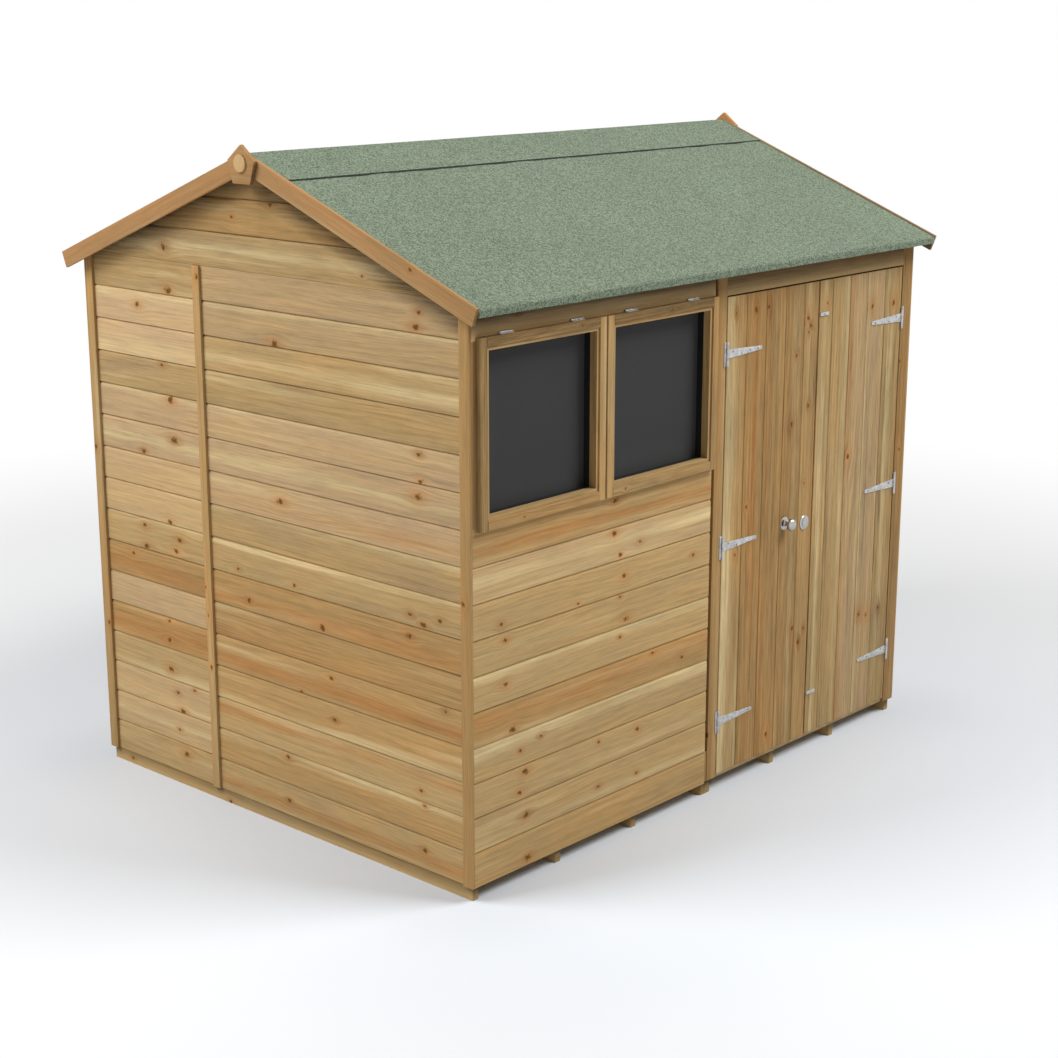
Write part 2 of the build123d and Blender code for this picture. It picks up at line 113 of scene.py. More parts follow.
# Painted shade under the bargeboards: the top row takes the darker olive tone
REAR_PANEL = [
    ("olive", None), ("blush", (0.85, 0.14, 0.7)), ("blush", (0.2, 0.25, 0.6)), ("olive", None),
    ("pink", (0.95, 0.1, 0.5)), ("pink", (0.5, 0.16, 0.7)), ("pale", None), ("pale", None),
    ("tan", (0.95, 0.1, 0.6)), ("brown", (0.45, 0.25, -0.5)), ("pink", None), ("orange", (0.5, 0.3, -0.7)),
    ("tan", (0.08, 0.12, 0.4)), ("pale", None), ("pale", (0.55, 0.12, 0.4)), ("tan", (0.6, 0.14, 0.4)),
]
# Painted shade under the bargeboards: the triangle's boards all take darker tones
GABLE_TONES = [("dark", None), ("dark", None), ("shade", (0.45, 0.16, 0.6))]
# Boards under the windows, from the top down
FRONT_TONES = [
    ("honey", (0.35, 0.12, -0.6)), ("pale", (0.6, 0.16, 0.8)), ("tan", None), ("tan", None),
    ("tan", (0.9, 0.12, 0.6)), ("orange", (0.7, 0.2, -0.6)), ("tan", (0.85, 0.2, 0.8)), ("tan", None),
    ("tan", (0.15, 0.14, 0.5)), ("honey", None),
]
# Boards of the two leaves, from left to right
LEFT_LEAF_TONES = [
    ("honey", (0.12, 0.28, 0.8)), ("orange", (0.5, 0.12, -0.8)), ("orange", (0.2, 0.1, -0.6)),
    ("brown", (0.7, 0.12, 0.3)), ("honey", (0.85, 0.2, -0.3)),
]
RIGHT_LEAF_TONES = [
    ("tan", (0.45, 0.16, 0.8)), ("tan", (0.85, 0.2, 0.4)), ("pink", (0.1, 0.14, -0.6)),
    ("pink", (0.06, 0.1, 0.6)), ("olive", (0.45, 0.16, 0.6)),
]
PLAIN_TONES = ("tan", "pink", "tan", "pale", "olive", "honey", "tan", "orange", "pink")

# Knots as place along the wall, height and radius, in metres
GABLE_KNOTS = [
    (0.490, 1.925, 0.015), (0.480, 1.780, 0.016), (0.650, 1.718, 0.012), (0.530, 1.522, 0.008),
    (0.490, 1.408, 0.015), (0.480, 1.268, 0.016), (0.655, 1.203, 0.012), (0.525, 0.972, 0.010),
    (0.670, 0.935, 0.010), (0.475, 0.915, 0.012), (0.665, 0.858, 0.013), (0.497, 0.872, 0.012),
    (0.745, 0.820, 0.010), (0.560, 0.535, 0.012), (0.556, 0.605, 0.008), (0.558, 0.426, 0.013),
    (0.430, 0.374, 0.007), (0.525, 0.345, 0.008), (0.500, 0.280, 0.012), (0.525, 0.207, 0.008),
    (0.490, 0.122, 0.014), (-0.060, 2.100, 0.008), (0.130, 2.050, 0.007), (-0.475, 1.915, 0.005),
    (-0.715, 1.830, 0.009), (-0.700, 1.785, 0.014), (-0.060, 1.660, 0.016), (-0.710, 1.400, 0.009),
    (-0.716, 1.317, 0.010), (-0.700, 1.266, 0.015), (-0.062, 1.145, 0.014), (0.165, 0.872, 0.007),
    (-0.120, 0.870, 0.007), (-0.660, 0.884, 0.008), (-0.718, 0.862, 0.012), (-0.790, 0.890, 0.008),
    (-0.655, 0.814, 0.012), (0.112, 0.772, 0.010), (-0.250, 0.752, 0.015), (-0.290, 0.590, 0.010),
    (-0.140, 0.507, 0.008), (-0.300, 0.448, 0.010), (-0.060, 0.256, 0.010), (-0.698, 0.310, 0.008),
    (-0.712, 0.262, 0.008), (-0.060, 0.098, 0.009), (-0.710, 0.110, 0.011), (-0.810, 0.602, 0.007),
]
FRONT_KNOTS = [
    (-0.528, 1.172, 0.011), (-0.530, 1.062, 0.012), (-0.400, 1.009, 0.007), (-0.499, 0.985, 0.010),
    (-0.478, 0.910, 0.012), (-0.115, 0.905, 0.008), (-1.050, 0.825, 0.009), (-0.708, 0.866, 0.006),
    (-1.066, 0.880, 0.008), (-0.470, 0.762, 0.013), (-0.500, 0.843, 0.007), (-1.048, 0.682, 0.010),
    (-0.495, 0.705, 0.008), (-0.325, 0.607, 0.008), (-0.165, 0.552, 0.008), (-1.015, 0.524, 0.013),
    (-0.885, 0.468, 0.007), (-0.982, 0.445, 0.008), (-0.958, 0.370, 0.013), (-0.600, 0.366, 0.007),
    (-0.402, 0.357, 0.010), (-0.985, 0.306, 0.009), (-0.955, 0.221, 0.013), (-0.600, 0.211, 0.007),
    (-0.402, 0.200, 0.008), (-0.945, 0.070, 0.014),
]
DOOR_KNOTS = [
    (0.098, 1.705, 0.010), (0.210, 1.702, 0.011), (0.283, 1.706, 0.010), (0.522, 1.640, 0.011),
    (0.540, 1.612, 0.009), (0.528, 1.590, 0.006), (0.460, 1.512, 0.007), (0.540, 1.322, 0.008),
    (0.440, 1.270, 0.010), (0.182, 1.015, 0.007), (0.125, 0.855, 0.007), (0.532, 1.040, 0.006),
    (0.487, 0.503, 0.010), (0.530, 0.440, 0.011), (0.560, 0.486, 0.007), (0.345, 0.130, 0.011),
    (0.640, 1.680, 0.007), (0.932, 1.635, 0.010), (1.075, 1.635, 0.011), (0.810, 1.092, 0.011),
    (0.930, 0.455, 0.012), (0.980, 0.442, 0.010), (1.066, 0.450, 0.009),
]
# Left stile, right stile, bottom rail and top rail of each sash, and the beads inside them; the top rails are
# painted darker as shade of the eaves
SASH_TONES = {"left": ("dark", "amber", "honey", "eave_shadow"), "right": ("gold", "honey", "honey", "eave_shadow")}
BEAD_TONES = ("tan", "gold", "gold", "amber")
# Painted shade: how much darker a board is painted higher up than along its foot, and the share of its height
# this takes
NO_FADE = (0.0, 1.0)
# Painted shadow of the eaves on the head boards
HEAD_EAVE_SHADOWS = {"window_head": (2.3, 0.515), "door_head": (0.9, 0.5)}
# Painted shadow of the cladding's lower edge on the bearers
BEARER_PAINTED_SHADOW = (0.8, 1.0)
# Painted shade: how much less warm and less light a side turned away from the light is painted, and how much
# less light end grain is
AWAY_SIDE_SHADE = (1.9, 0.45)
END_GRAIN = 0.34
# Single knots as place and radius
STRIP_KNOTS = [((-1.2, 0.310, 1.846), 0.010), ((-1.2, 0.322, 0.677), 0.006), ((-1.2, 0.316, 0.490), 0.008)]
BARGE_KNOT = ((-1.259, -0.735, 1.962), 0.007)
# Places of the grooves along each leaf
LEFT_GROOVES = (0.1585, 0.2725, 0.3875, 0.5005)
RIGHT_GROOVES = (0.6735, 0.7865, 0.8995, 1.0155)


class BoardSizes(bpy.types.PropertyGroup):
    """Sizes of the boards that the CAD model leaves flat."""

    lowest: bpy.props.FloatProperty(
        name="Lowest board", description="Height that the lowest board of a side wall shows", default=0.112,
        unit="LENGTH")
    front_lowest: bpy.props.FloatProperty(
        name="Lowest front board", description="Height that the lowest board of the front shows",
        default=0.117, unit="LENGTH")
    cover: bpy.props.FloatProperty(
        name="Cover", description="Height that each other board shows", default=0.1148, unit="LENGTH")
    scoop: bpy.props.FloatProperty(
        name="Scoop height", description="Height of the hollow along a board's top edge", default=0.0105,
        unit="LENGTH")
    scoop_depth: bpy.props.FloatProperty(
        name="Scoop depth", description="Depth of that hollow where the next board covers it", default=0.0062,
        unit="LENGTH")
    lap: bpy.props.FloatProperty(
        name="Lap", description="Height of the tongue behind the next board", default=0.0055, unit="LENGTH")
    groove: bpy.props.FloatProperty(
        name="V groove", description="Width of the chamfer on each side of a door groove", default=0.0026,
        unit="LENGTH")
    play: bpy.props.FloatProperty(
        name="Play", description="Gap between two boards", default=0.0020, unit="LENGTH")
    arris: bpy.props.FloatProperty(
        name="Arris", description="Rounding of a planed edge", default=0.0013, unit="LENGTH")


def colour(label, note, red, green, blue):
    """A colour that a user can change."""
    return bpy.props.FloatVectorProperty(
        name=label, description=note, default=(red, green, blue), size=3, min=0, max=1, subtype="COLOR")


class WoodColours(bpy.types.PropertyGroup):
    """Colours that the wood finishes mix."""

    tan: colour("Tan", "Plain treated softwood", 0.452, 0.304, 0.133)
    pale: colour("Pale", "Sapwood bands", 0.630, 0.480, 0.248)
    orange: colour("Orange", "Warm heartwood", 0.425, 0.236, 0.082)
    pink: colour("Pink", "Washed boards with a pink cast", 0.492, 0.337, 0.184)
    halo: colour("Halo", "Stained wood around a knot", 0.430, 0.195, 0.060)
    blush: colour("Blush", "Reddish flecks along the grain", 0.395, 0.214, 0.102)
    knot: colour("Knot", "Middle of a knot", 0.118, 0.046, 0.004)


class FittingColours(bpy.types.PropertyGroup):
    """Colours of the felt, glazing and metal."""

    felt: colour("Felt", "Most of the mineral grit", 0.128, 0.166, 0.109)
    felt_dark: colour("Dark grit", "Bitumen between the grit", 0.055, 0.075, 0.053)
    felt_light: colour("Light grit", "Pale chips in the grit", 0.250, 0.292, 0.215)
    bitumen: colour("Bitumen", "Seam under the edge of the cap", 0.012, 0.015, 0.013)
    bitumen_dull: colour("Dull bitumen", "Paler grain of the bitumen", 0.022, 0.027, 0.023)
    glazing: colour("Glazing", "Dark pane", 0.043, 0.043, 0.043)
    dust_and_painted_light: colour("Dust", "Faint dust on the pane", 0.048, 0.048, 0.049)
    seal: colour("Seal", "Black strip around the panes", 0.006, 0.006, 0.006)
    seal_dull: colour("Dull seal", "Paler grain of that strip", 0.016, 0.015, 0.014)
    galvanised: colour("Galvanised", "Hinges and catches", 0.48, 0.48, 0.48)
    zinc_cloud: colour("Zinc clouds", "Paler clouds in the zinc", 0.62, 0.62, 0.61)
    bright: colour("Bright plate", "Knob and escutcheon", 0.40, 0.39, 0.375)
    bright_cloud: colour("Plate clouds", "Paler clouds in the plate", 0.55, 0.55, 0.54)
    screw: colour("Screws", "Screw heads in the hinges", 0.17, 0.17, 0.17)


class StageLook(bpy.types.PropertyGroup):
    """Floor, light and camera."""

    floor: colour("Floor", "Pale floor", 0.681, 0.684, 0.686)
    # Paler floor under and around the shed: painted light that evens out the lamps' shadows on the floor
    painted_light_floor: colour("Floor by the shed", "Pale floor under and around the shed", 0.778, 0.793, 0.803)
    cool_floor: colour(
        "Cool floor", "Floor that evens out the warm light thrown back by the wood", 0.700, 0.790, 0.930)
    sky: bpy.props.FloatProperty(
        name="Sky", description="Strength of the even light from all round", default=0.24, min=0)
    gable_lamp: bpy.props.FloatProperty(
        name="Gable lamp", description="Power of the soft lamp on the gable's side", default=745.0, min=0,
        unit="POWER")
    front_lamp: bpy.props.FloatProperty(
        name="Front lamp", description="Power of the soft lamp on the front's side", default=885.0, min=0,
        unit="POWER")
    lens: bpy.props.FloatProperty(
        name="Lens", description="Focal length of the camera in millimetres", default=67.95, min=1)


# Shader nodes


class Value:
    """A number on a surface. Sums and products of values add the Math nodes that work them out."""

    def __init__(self, tree, socket):
        self.tree = tree
        self.socket = socket

    def math(self, operation, *others):
        inputs = dict(enumerate((self, *others)))
        return self.tree.node("ShaderNodeMath", {"operation": operation}, inputs)["Value"]

    def __add__(self, other):
        return self.math("ADD", other)

    def __sub__(self, other):
        return self.math("SUBTRACT", other)

    def __rsub__(self, other):
        return self.math("MULTIPLY", -1.0).math("ADD", other)

    def __mul__(self, other):
        return self.math("MULTIPLY", other)

    def __neg__(self):
        return self.math("MULTIPLY", -1.0)

    __radd__ = __add__
    __rmul__ = __mul__

    def exp(self):
        return self.math("EXPONENT")

    def root(self):
        return self.math("SQRT")

    def part(self):
        return self.math("FRACT")

    def above(self, limit):
        return self.math("MAXIMUM", limit)

    def below(self, limit):
        return self.math("MINIMUM", limit)

    def step(self, start, end):
        """Nought at start, one at end, and smooth between them."""
        settings = {"interpolation_type": "SMOOTHSTEP"}
        inputs = {"Value": self, "From Min": start, "From Max": end}
        return self.tree.node("ShaderNodeMapRange", settings, inputs)["Result"]


class Tree:
    """A node tree that grows by calls."""

    def __init__(self, tree):
        self.tree = tree

    def node(self, kind, settings=None, inputs=None):
        """Adds a node, sets it up and gives its sockets values or links. Returns its outputs by name."""
        made = self.tree.nodes.new(kind)
        for name, setting in (settings or {}).items():
            setattr(made, name, setting)
        named = {s.name: s for s in reversed(list(made.inputs)) if s.enabled}
        for key, value in (inputs or {}).items():
            socket = made.inputs[key] if isinstance(key, int) else named[key]
            if isinstance(value, Value):
                self.tree.links.new(value.socket, socket)
            else:
                socket.default_value = value
        return {s.name: Value(self, s) for s in reversed(list(made.outputs)) if s.enabled}

    def map(self, name):
        """The two numbers of one of the boards' maps."""
        place = self.node("ShaderNodeUVMap", {"uv_map": name})["UV"]
        parts = self.node("ShaderNodeSeparateXYZ", None, {"Vector": place})
        return parts["X"], parts["Y"]

    def place(self):
        """Place on the object, as a vector and its three parts."""
        vector = self.node("ShaderNodeTexCoord")["Object"]
        parts = self.node("ShaderNodeSeparateXYZ", None, {"Vector": vector})
        return vector, parts["X"], parts["Y"], parts["Z"]

    def vector(self, x, y, z=0.0):
        return self.node("ShaderNodeCombineXYZ", None, {"X": x, "Y": y, "Z": z})["Vector"]

    def noise(self, vector, scale=1.0, detail=2.0, roughness=0.5):
        inputs = {"Vector": vector, "Scale": scale, "Detail": detail, "Roughness": roughness}
        return self.node("ShaderNodeTexNoise", None, inputs)["Fac"]

    def cells(self, vector, scale):
        """A random number for each cell, and the distance from the cell's middle."""
        made = self.node("ShaderNodeTexVoronoi", None, {"Vector": vector, "Scale": scale})
        parts = self.node("ShaderNodeSeparateColor", None, {"Color": made["Color"]})
        return parts["Red"], made["Distance"]

    def mix(self, share, first, second):
        """Colour between two colours."""
        inputs = {"Factor": share, "A": solid(first), "B": solid(second)}
        return self.node("ShaderNodeMix", {"data_type": "RGBA"}, inputs)["Result"]

    def dim(self, tint, amount):
        """A colour times a number."""
        inputs = {"Vector": tint, "Scale": amount}
        return self.node("ShaderNodeVectorMath", {"operation": "SCALE"}, inputs)["Vector"]

    def bump(self, height, strength, distance):
        inputs = {"Height": height, "Strength": strength, "Distance": distance}
        return self.node("ShaderNodeBump", None, inputs)["Normal"]


def solid(tint):
    """A colour with its alpha, or a link as it is."""
    return tint if isinstance(tint, Value) else (*tint, 1.0)


def new_finish(name):
    """A material with its tree and a way to set its surface."""
    material = bpy.data.materials.new(name)
    material.use_nodes = True
    tree = Tree(material.node_tree)
    surface = material.node_tree.nodes["Principled BSDF"]

    def give(**values):
        for key, value in values.items():
            socket = surface.inputs[key.replace("_", " ")]
            if isinstance(value, Value):
                material.node_tree.links.new(value.socket, socket)
            else:
                socket.default_value = value

    return material, tree, give


def wood(name, light=1.0, figure=1.0, warm=0.0, rough=0.62, spread=1.0, blush=0.0):
    """Treated softwood: grain along the board, sapwood and heartwood bands, growth rings and knots."""
    colours = bpy.context.scene.shed_wood
    material, tree, give = new_finish(name)
    u, v = tree.map("grain")
    knot_u, knot_v = tree.map("knot")
    warmth, lightness = tree.map("tone")
    warmth = warmth + warm
    streak_v, streak = tree.map("streak")
    round_knot = knot_u * knot_u * 0.07 + knot_v * knot_v * 0.22
    v = v - knot_v * (-round_knot).exp() * 0.012
    drift = tree.noise(tree.vector(u * 0.7, v * 5.0), detail=2.0)
    v = v + (drift - 0.5) * 0.02
    broad = tree.noise(tree.vector(u * 0.9, v * 17.0, 3.0), detail=3.0)
    patch = tree.noise(tree.vector(u * 2.2, v * 9.0, 5.0), detail=3.0)
    bands = tree.noise(tree.vector(u * 1.1, v * 62.0, 7.0), detail=4.0, roughness=0.62)
    mottle = tree.noise(tree.vector(u * 9.0, v * 85.0, 13.0), detail=4.0, roughness=0.65)
    fine = tree.noise(tree.vector(u * 2.6, v * 230.0, 9.0), detail=3.0, roughness=0.6)
    fibre = tree.noise(tree.vector(u * 16.0, v * 760.0, 11.0), detail=2.0)
    ring = ((v + drift * 0.16) * 58.0).part()
    late = ring.step(0.30, 0.93) * (1.0 - ring.step(0.94, 1.0)) * patch.step(0.42, 0.66) * bands

    warmth = warmth + (patch - 0.5) * 1.5 + (broad - 0.5) * 0.6
    tint = tree.mix(warmth.above(0.0).below(1.0), colours.tan, colours.orange)
    tint = tree.mix((-warmth).above(0.0).below(1.0), tint, colours.pink)
    tint = tree.mix(broad.step(0.52, 0.76) * 0.6, tint, colours.pale)
    tint = tree.mix(bands.step(0.53, 0.76) * 0.5, tint, colours.orange)
    tint = tree.mix(mottle.step(0.54, 0.74) * 0.35 + blush, tint, colours.blush)
    strip = streak_v + (drift - 0.5) * 2.6 + (bands - 0.5) * 1.6
    lens = tree.noise(tree.vector(u * 1.1, v * 2.0, 17.0), detail=2.0).step(0.30, 0.66)
    strip = (-(strip * strip)).exp() * streak * (0.45 + lens * 1.2)
    tint = tree.mix(strip.above(0.0).below(1.0) * 0.9, tint, colours.pale)
    tint = tree.mix((-strip).above(0.0).below(1.0) * 0.75, tint, colours.halo)

    ragged = tree.noise(tree.vector(knot_u, knot_v, u * 5.0), scale=0.9, detail=3.0, roughness=0.6)
    distance = (knot_u * knot_u * 0.55 + knot_v * knot_v).root() + (ragged - 0.5) * 2.2
    core = 1.0 - distance.step(0.25, 0.95)
    stain = (knot_u * knot_u * 0.13 + knot_v * knot_v * 0.36) * (0.3 + ragged * 1.4) * (1.0 / spread)
    halo = (-stain).exp()
    figured = (bands - 0.5) * 0.55 + (fine - 0.5) * 0.55 + (patch - 0.5) * 0.56 + (mottle - 0.5) * 0.50
    shade = lightness + 1.0 - late * 0.24 * figure + (fibre - 0.5) * 0.18 + figured * figure
    tint = tree.dim(tree.mix(halo * 0.66, tint, colours.halo), shade * light)
    tint = tree.mix(core * 0.92, tint, colours.knot)
    height = fibre * 0.4 + fine * 0.6 - late * 0.6 + core * 0.5
    give(Base_Color=tint, Roughness=rough + fine * 0.2 - core * 0.1,
         Normal=tree.bump(height, 0.35, 0.0007), Specular_IOR_Level=0.10)
    return material


def pressed_board(name):
    """Pressed flakes, with no direction of their own."""
    colours = bpy.context.scene.shed_wood
    material, tree, give = new_finish(name)
    place, x, y, z = tree.place()
    flakes, distance = tree.cells(tree.vector(x, y * 2.2, z * 2.2), 26.0)
    cloud = tree.noise(place, 9.0, 3.0)
    grit = tree.noise(place, 260.0, 2.0)
    tint = tree.mix(flakes * 0.7, colours.tan, colours.pale)
    tint = tree.mix(cloud.step(0.5, 0.75) * 0.5, tint, colours.orange)
    tint = tree.dim(tint, 0.72 + grit * 0.35 + flakes * 0.1)
    give(Base_Color=tint, Roughness=0.7 + grit * 0.15, Normal=tree.bump(grit + distance, 0.3, 0.0008))
    return material


def mineral_felt(name):
    """Green mineral grit pressed into bitumen."""
    colours = bpy.context.scene.shed_fittings
    material, tree, give = new_finish(name)
    place = tree.place()[0]
    chip, distance = tree.cells(place, 235.0)
    fine, fine_distance = tree.cells(place, 540.0)
    cloud = tree.noise(place, 3.0, 3.0)
    patch = tree.noise(place, 38.0, 3.0)
    tint = tree.mix((chip * 0.6 + fine * 0.4).step(0.30, 0.86) * 0.75, colours.felt, colours.felt_light)
    tint = tree.mix((1.0 - chip * 0.55 - fine * 0.45).step(0.45, 0.95), tint, colours.felt_dark)
    tint = tree.dim(tint, 0.80 + cloud * 0.22 + patch * 0.22)
    give(Base_Color=tint, Roughness=0.86 + fine * 0.1,
         Normal=tree.bump(distance * -1.0 - fine_distance * 0.5, 0.6, 0.0012), Specular_IOR_Level=0.25)
    return material


def bitumen(name):
    """Black seam under the edge of the capping strip."""
    colours = bpy.context.scene.shed_fittings
    material, tree, give = new_finish(name)
    grain = tree.noise(tree.place()[0], 180.0, 3.0)
    tint = tree.dim(tree.mix(grain, colours.bitumen, colours.bitumen_dull), 0.6 + grain)
    give(Base_Color=tint, Roughness=0.6 + grain * 0.3,
         Normal=tree.bump(grain, 0.4, 0.0008), Specular_IOR_Level=0.1)
    return material


def galvanised(name, tint_name="galvanised", rough=0.42):
    """Zinc with soft spangle and paler clouds."""
    colours = bpy.context.scene.shed_fittings
    material, tree, give = new_finish(name)
    place = tree.place()[0]
    spangle, distance = tree.cells(place, 190.0)
    cloud = tree.noise(place, 45.0, 3.0)
    tint = tree.mix(cloud.step(0.35, 0.7), getattr(colours, tint_name), colours.zinc_cloud)
    tint = tree.dim(tint, 0.76 + spangle * 0.32)
    give(Base_Color=tint, Metallic=0.75, Roughness=rough + spangle * 0.14 + cloud * 0.08,
         Normal=tree.bump(cloud + distance * 0.4, 0.15, 0.0005))
    return material


def bright_plate(name):
    """Polished plate with faint clouds and grain."""
    colours = bpy.context.scene.shed_fittings
    material, tree, give = new_finish(name)
    place = tree.place()[0]
    cloud = tree.noise(place, 160.0, 2.0)
    fine = tree.noise(place, 1400.0, 2.0)
    tint = tree.dim(tree.mix(cloud, colours.bright, colours.bright_cloud), 0.9 + fine * 0.1)
    give(Base_Color=tint, Metallic=1.0, Roughness=0.12 + cloud * 0.1 + fine * 0.04)
    return material


def dark_pane(name):
    """Clear sheet with darkness behind it, faint paler clouds, and painted light towards its edges and top."""
    colours = bpy.context.scene.shed_fittings
    material, tree, give = new_finish(name)
    place, x, _, z = tree.place()
    cloud = tree.noise(place, 2.2, 2.0)
    smear = tree.noise(place, 30.0, 3.0)
    aside = (x - PANE_MIDDLES[0]).math("ABSOLUTE").below((x - PANE_MIDDLES[1]).math("ABSOLUTE"))
    above = (z - PANE_HEIGHT).math("ABSOLUTE")
    # Painted light: lighter towards the pane's edges and top and darker towards its foot, evening out the shade
    # of the sash and the eaves
    dust_and_painted_light = aside.above(above).step(0.13, 0.30) + (z - PANE_HEIGHT) * 0.6
    tint = tree.dim(tree.mix(cloud, colours.glazing, colours.dust_and_painted_light), 0.92 + smear * 0.12 + dust_and_painted_light * 0.34)
    give(Base_Color=tint, Roughness=0.5 + smear * 0.12,
         Normal=tree.bump(cloud, 0.05, 0.002), Specular_IOR_Level=0.06)
    return material


def black_rubber(name):
    """Matt strip around a pane."""
    colours = bpy.context.scene.shed_fittings
    material, tree, give = new_finish(name)
    grain = tree.noise(tree.place()[0], 420.0, 2.0)
    tint = tree.dim(tree.mix(grain, colours.seal, colours.seal_dull), 0.7 + grain * 0.5)
    give(Base_Color=tint, Roughness=0.72 + grain * 0.15,
         Normal=tree.bump(grain, 0.2, 0.0004), Specular_IOR_Level=0.2)
    return material


FINISHES = {
    "shiplap_wood": lambda name: wood(name, light=0.985, figure=1.15),
    "door_wood": lambda name: wood(name, light=0.84, figure=1.7, warm=0.12, spread=2.2),
    "trim_wood": lambda name: wood(name, light=0.90, warm=0.3),
    # Darker, greyer copy of the wood: painted shade for the head boards under the eaves
    "head_wood": lambda name: wood(name, light=0.58, warm=-0.35),
    "barge_wood": lambda name: wood(name, light=0.915, figure=0.9, warm=0.6, blush=0.45),
    "sash_wood": lambda name: wood(name, light=0.87, figure=1.6, warm=0.1, rough=0.5),
    "disc_wood": lambda name: wood(name, figure=0.8),
    "frame_wood": lambda name: wood(name, light=0.86, figure=0.8, rough=0.75),
    "deck_board": pressed_board,
    "mineral_felt": mineral_felt,
    "bitumen": bitumen,
    "galvanised_steel": galvanised,
    "screw_steel": lambda name: galvanised(name, "screw", 0.35),
    "bright_steel": bright_plate,
    "dark_pane": dark_pane,
    "black_seal": black_rubber,
}


def finish(name):
    """The material of that name, made at its first use."""
    full_name = f"{name}_finish"
    return bpy.data.materials.get(full_name) or FINISHES[name](full_name)


def recoat(node, look):
    """Gives another finish to a CAD node that stays."""
    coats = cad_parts[node].data.materials
    coats.clear()
    coats.append(finish(look))


# Boards


class Placing:
    """Where a board lies: along its length, across its width and out of its face."""

    def __init__(self, origin, along, across):
        self.origin = Vector(origin)
        self.along = Vector(along).normalized()
        self.across = Vector(across).normalized()
        self.out = self.along.cross(self.across)

    def point(self, length, width, depth):
        """A point at a depth behind the face."""
        return self.origin + self.along * length + self.across * width - self.out * depth

    def local(self, point):
        """Length, width and depth of a point."""
        away = point - self.origin
        return away.dot(self.along), away.dot(self.across), -away.dot(self.out)


class Boards:
    """Gathers the boards of one piece, with grain, knots, tone and streak at every corner, and any painted
    shadow.
    """

    def __init__(self, seed, shade=None, painted_shadow_lines=()):
        self.shade, self.painted_shadow_lines = shade, list(painted_shadow_lines)
        self.points, self.faces = [], []
        self.maps = {name: [] for name in MAPS}
        self.random = random.Random(seed)

    def add(self, mesh, placing, knots, tone, streak=None, lit_way=None, fade=NO_FADE):
        """Takes a bmesh of one board. Knots are place along, place across and radius.

        Sides that don't look in the lit_way direction are painted less warm and less light, as painted shade.
        A board can be painted darker from its foot up, as painted shade, by an amount over a share of its
        height.
        """
        shift = self.random.uniform(0, 40), self.random.uniform(0, 9)
        jitter = self.random.uniform(-0.07, 0.07), self.random.uniform(-0.035, 0.035)
        foot, top = min(v.co.z for v in mesh.verts), max(v.co.z for v in mesh.verts)
        darker, share = fade
        faded = foot + (top - foot) * share
        fade_line = [((0, 0, faded), Z)] if share < 1 else []
        for point, normal in [*knot_cuts(knots, placing), *self.painted_shadow_lines, *fade_line]:
            parts = mesh.verts[:] + mesh.edges[:] + mesh.faces[:]
            bmesh.ops.bisect_plane(mesh, geom=parts, dist=1e-6, plane_co=point, plane_no=normal)
        mesh.verts.index_update()
        first = len(self.points)
        self.points.extend(v.co.copy() for v in mesh.verts)
        middle, width, strength = streak or (0.0, 1.0, 0.0)
        for face in mesh.faces:
            self.faces.append([first + v.index for v in face.verts])
            end = abs(face.normal.dot(placing.along)) > 0.7
            # Sides turned away from lit_way are painted in shade
            unlit = lit_way is not None and face.normal.dot(lit_way) < 0.5
            cool = AWAY_SIDE_SHADE[0] if unlit else 0.0
            dim = AWAY_SIDE_SHADE[1] if unlit else END_GRAIN if end and lit_way is None else 0.0
            edge = abs(face.normal.dot(placing.across)) > 0.7
            knot = nearest_knot(knots, *placing.local(face.calc_center_median())[:2])
            for vert in face.verts:
                # Painted shade darkens the tone: sides turned away from the light, the fade up a board and the
                # shadow under the bargeboards; end grain is darker of itself
                rise = min((vert.co.z - foot) / (faded - foot), 1.0) - 0.5
                dark = dim + rise * darker + (self.shade(vert.co) if self.shade else 0.0)
                length, across, depth = placing.local(vert.co)
                grain = (depth, across) if end else (length, across + depth if edge else across)
                self.maps["grain"].extend((grain[0] + shift[0], grain[1] + shift[1]))
                self.maps["knot"].extend(
                    ((length - knot[0]) / knot[2], (across - knot[1]) / knot[2]) if knot else FAR)
                self.maps["tone"].extend((tone[0] + jitter[0] - cool, tone[1] + jitter[1] - dark))
                self.maps["streak"].extend(((across - middle) / width, strength))
        mesh.free()

    def build(self, name, look, body, slot, *nodes):
        """Makes the piece, sets it on its body and hides the nodes that it stands for."""
        mesh = bpy.data.meshes.new(name)
        mesh.from_pydata(self.points, [], self.faces)
        for key, numbers in self.maps.items():
            mesh.uv_layers.new(name=key).data.foreach_set("uv", numbers)
        dress(name, mesh, look, body, slot, *nodes)


def dress(name, mesh, look, body, slot, *nodes):
    """A finished mesh as a piece that rides on a body."""
    mesh.polygons.foreach_set("use_smooth", [True] * len(mesh.polygons))
    mesh.set_sharp_from_angle(angle=SHARP)
    mesh.materials.append(finish(look))
    mesh.update()
    piece = bpy.data.objects.new(name, mesh)
    bpy.context.scene.collection.objects.link(piece)
    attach(piece, body)
    if nodes:
        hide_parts(*nodes)


def knot_cuts(knots, placing):
    """Planes around each knot and halfway between two close ones, so that no face has two knots."""
    cuts = []
    for number, (along, across, radius) in enumerate(knots):
        for way in (-1, 1):
            cuts.append((placing.point(along + way * KNOT_REACH * radius, 0, 0), placing.along))
        for other in knots[number + 1:]:
            if abs(other[0] - along) < KNOT_REACH * (radius + other[2]):
                middle = placing.point((along + other[0]) / 2, (across + other[1]) / 2, 0)
                line = placing.along * (other[0] - along) + placing.across * (other[1] - across)
                cuts.append((middle, line.normalized()))
    return cuts


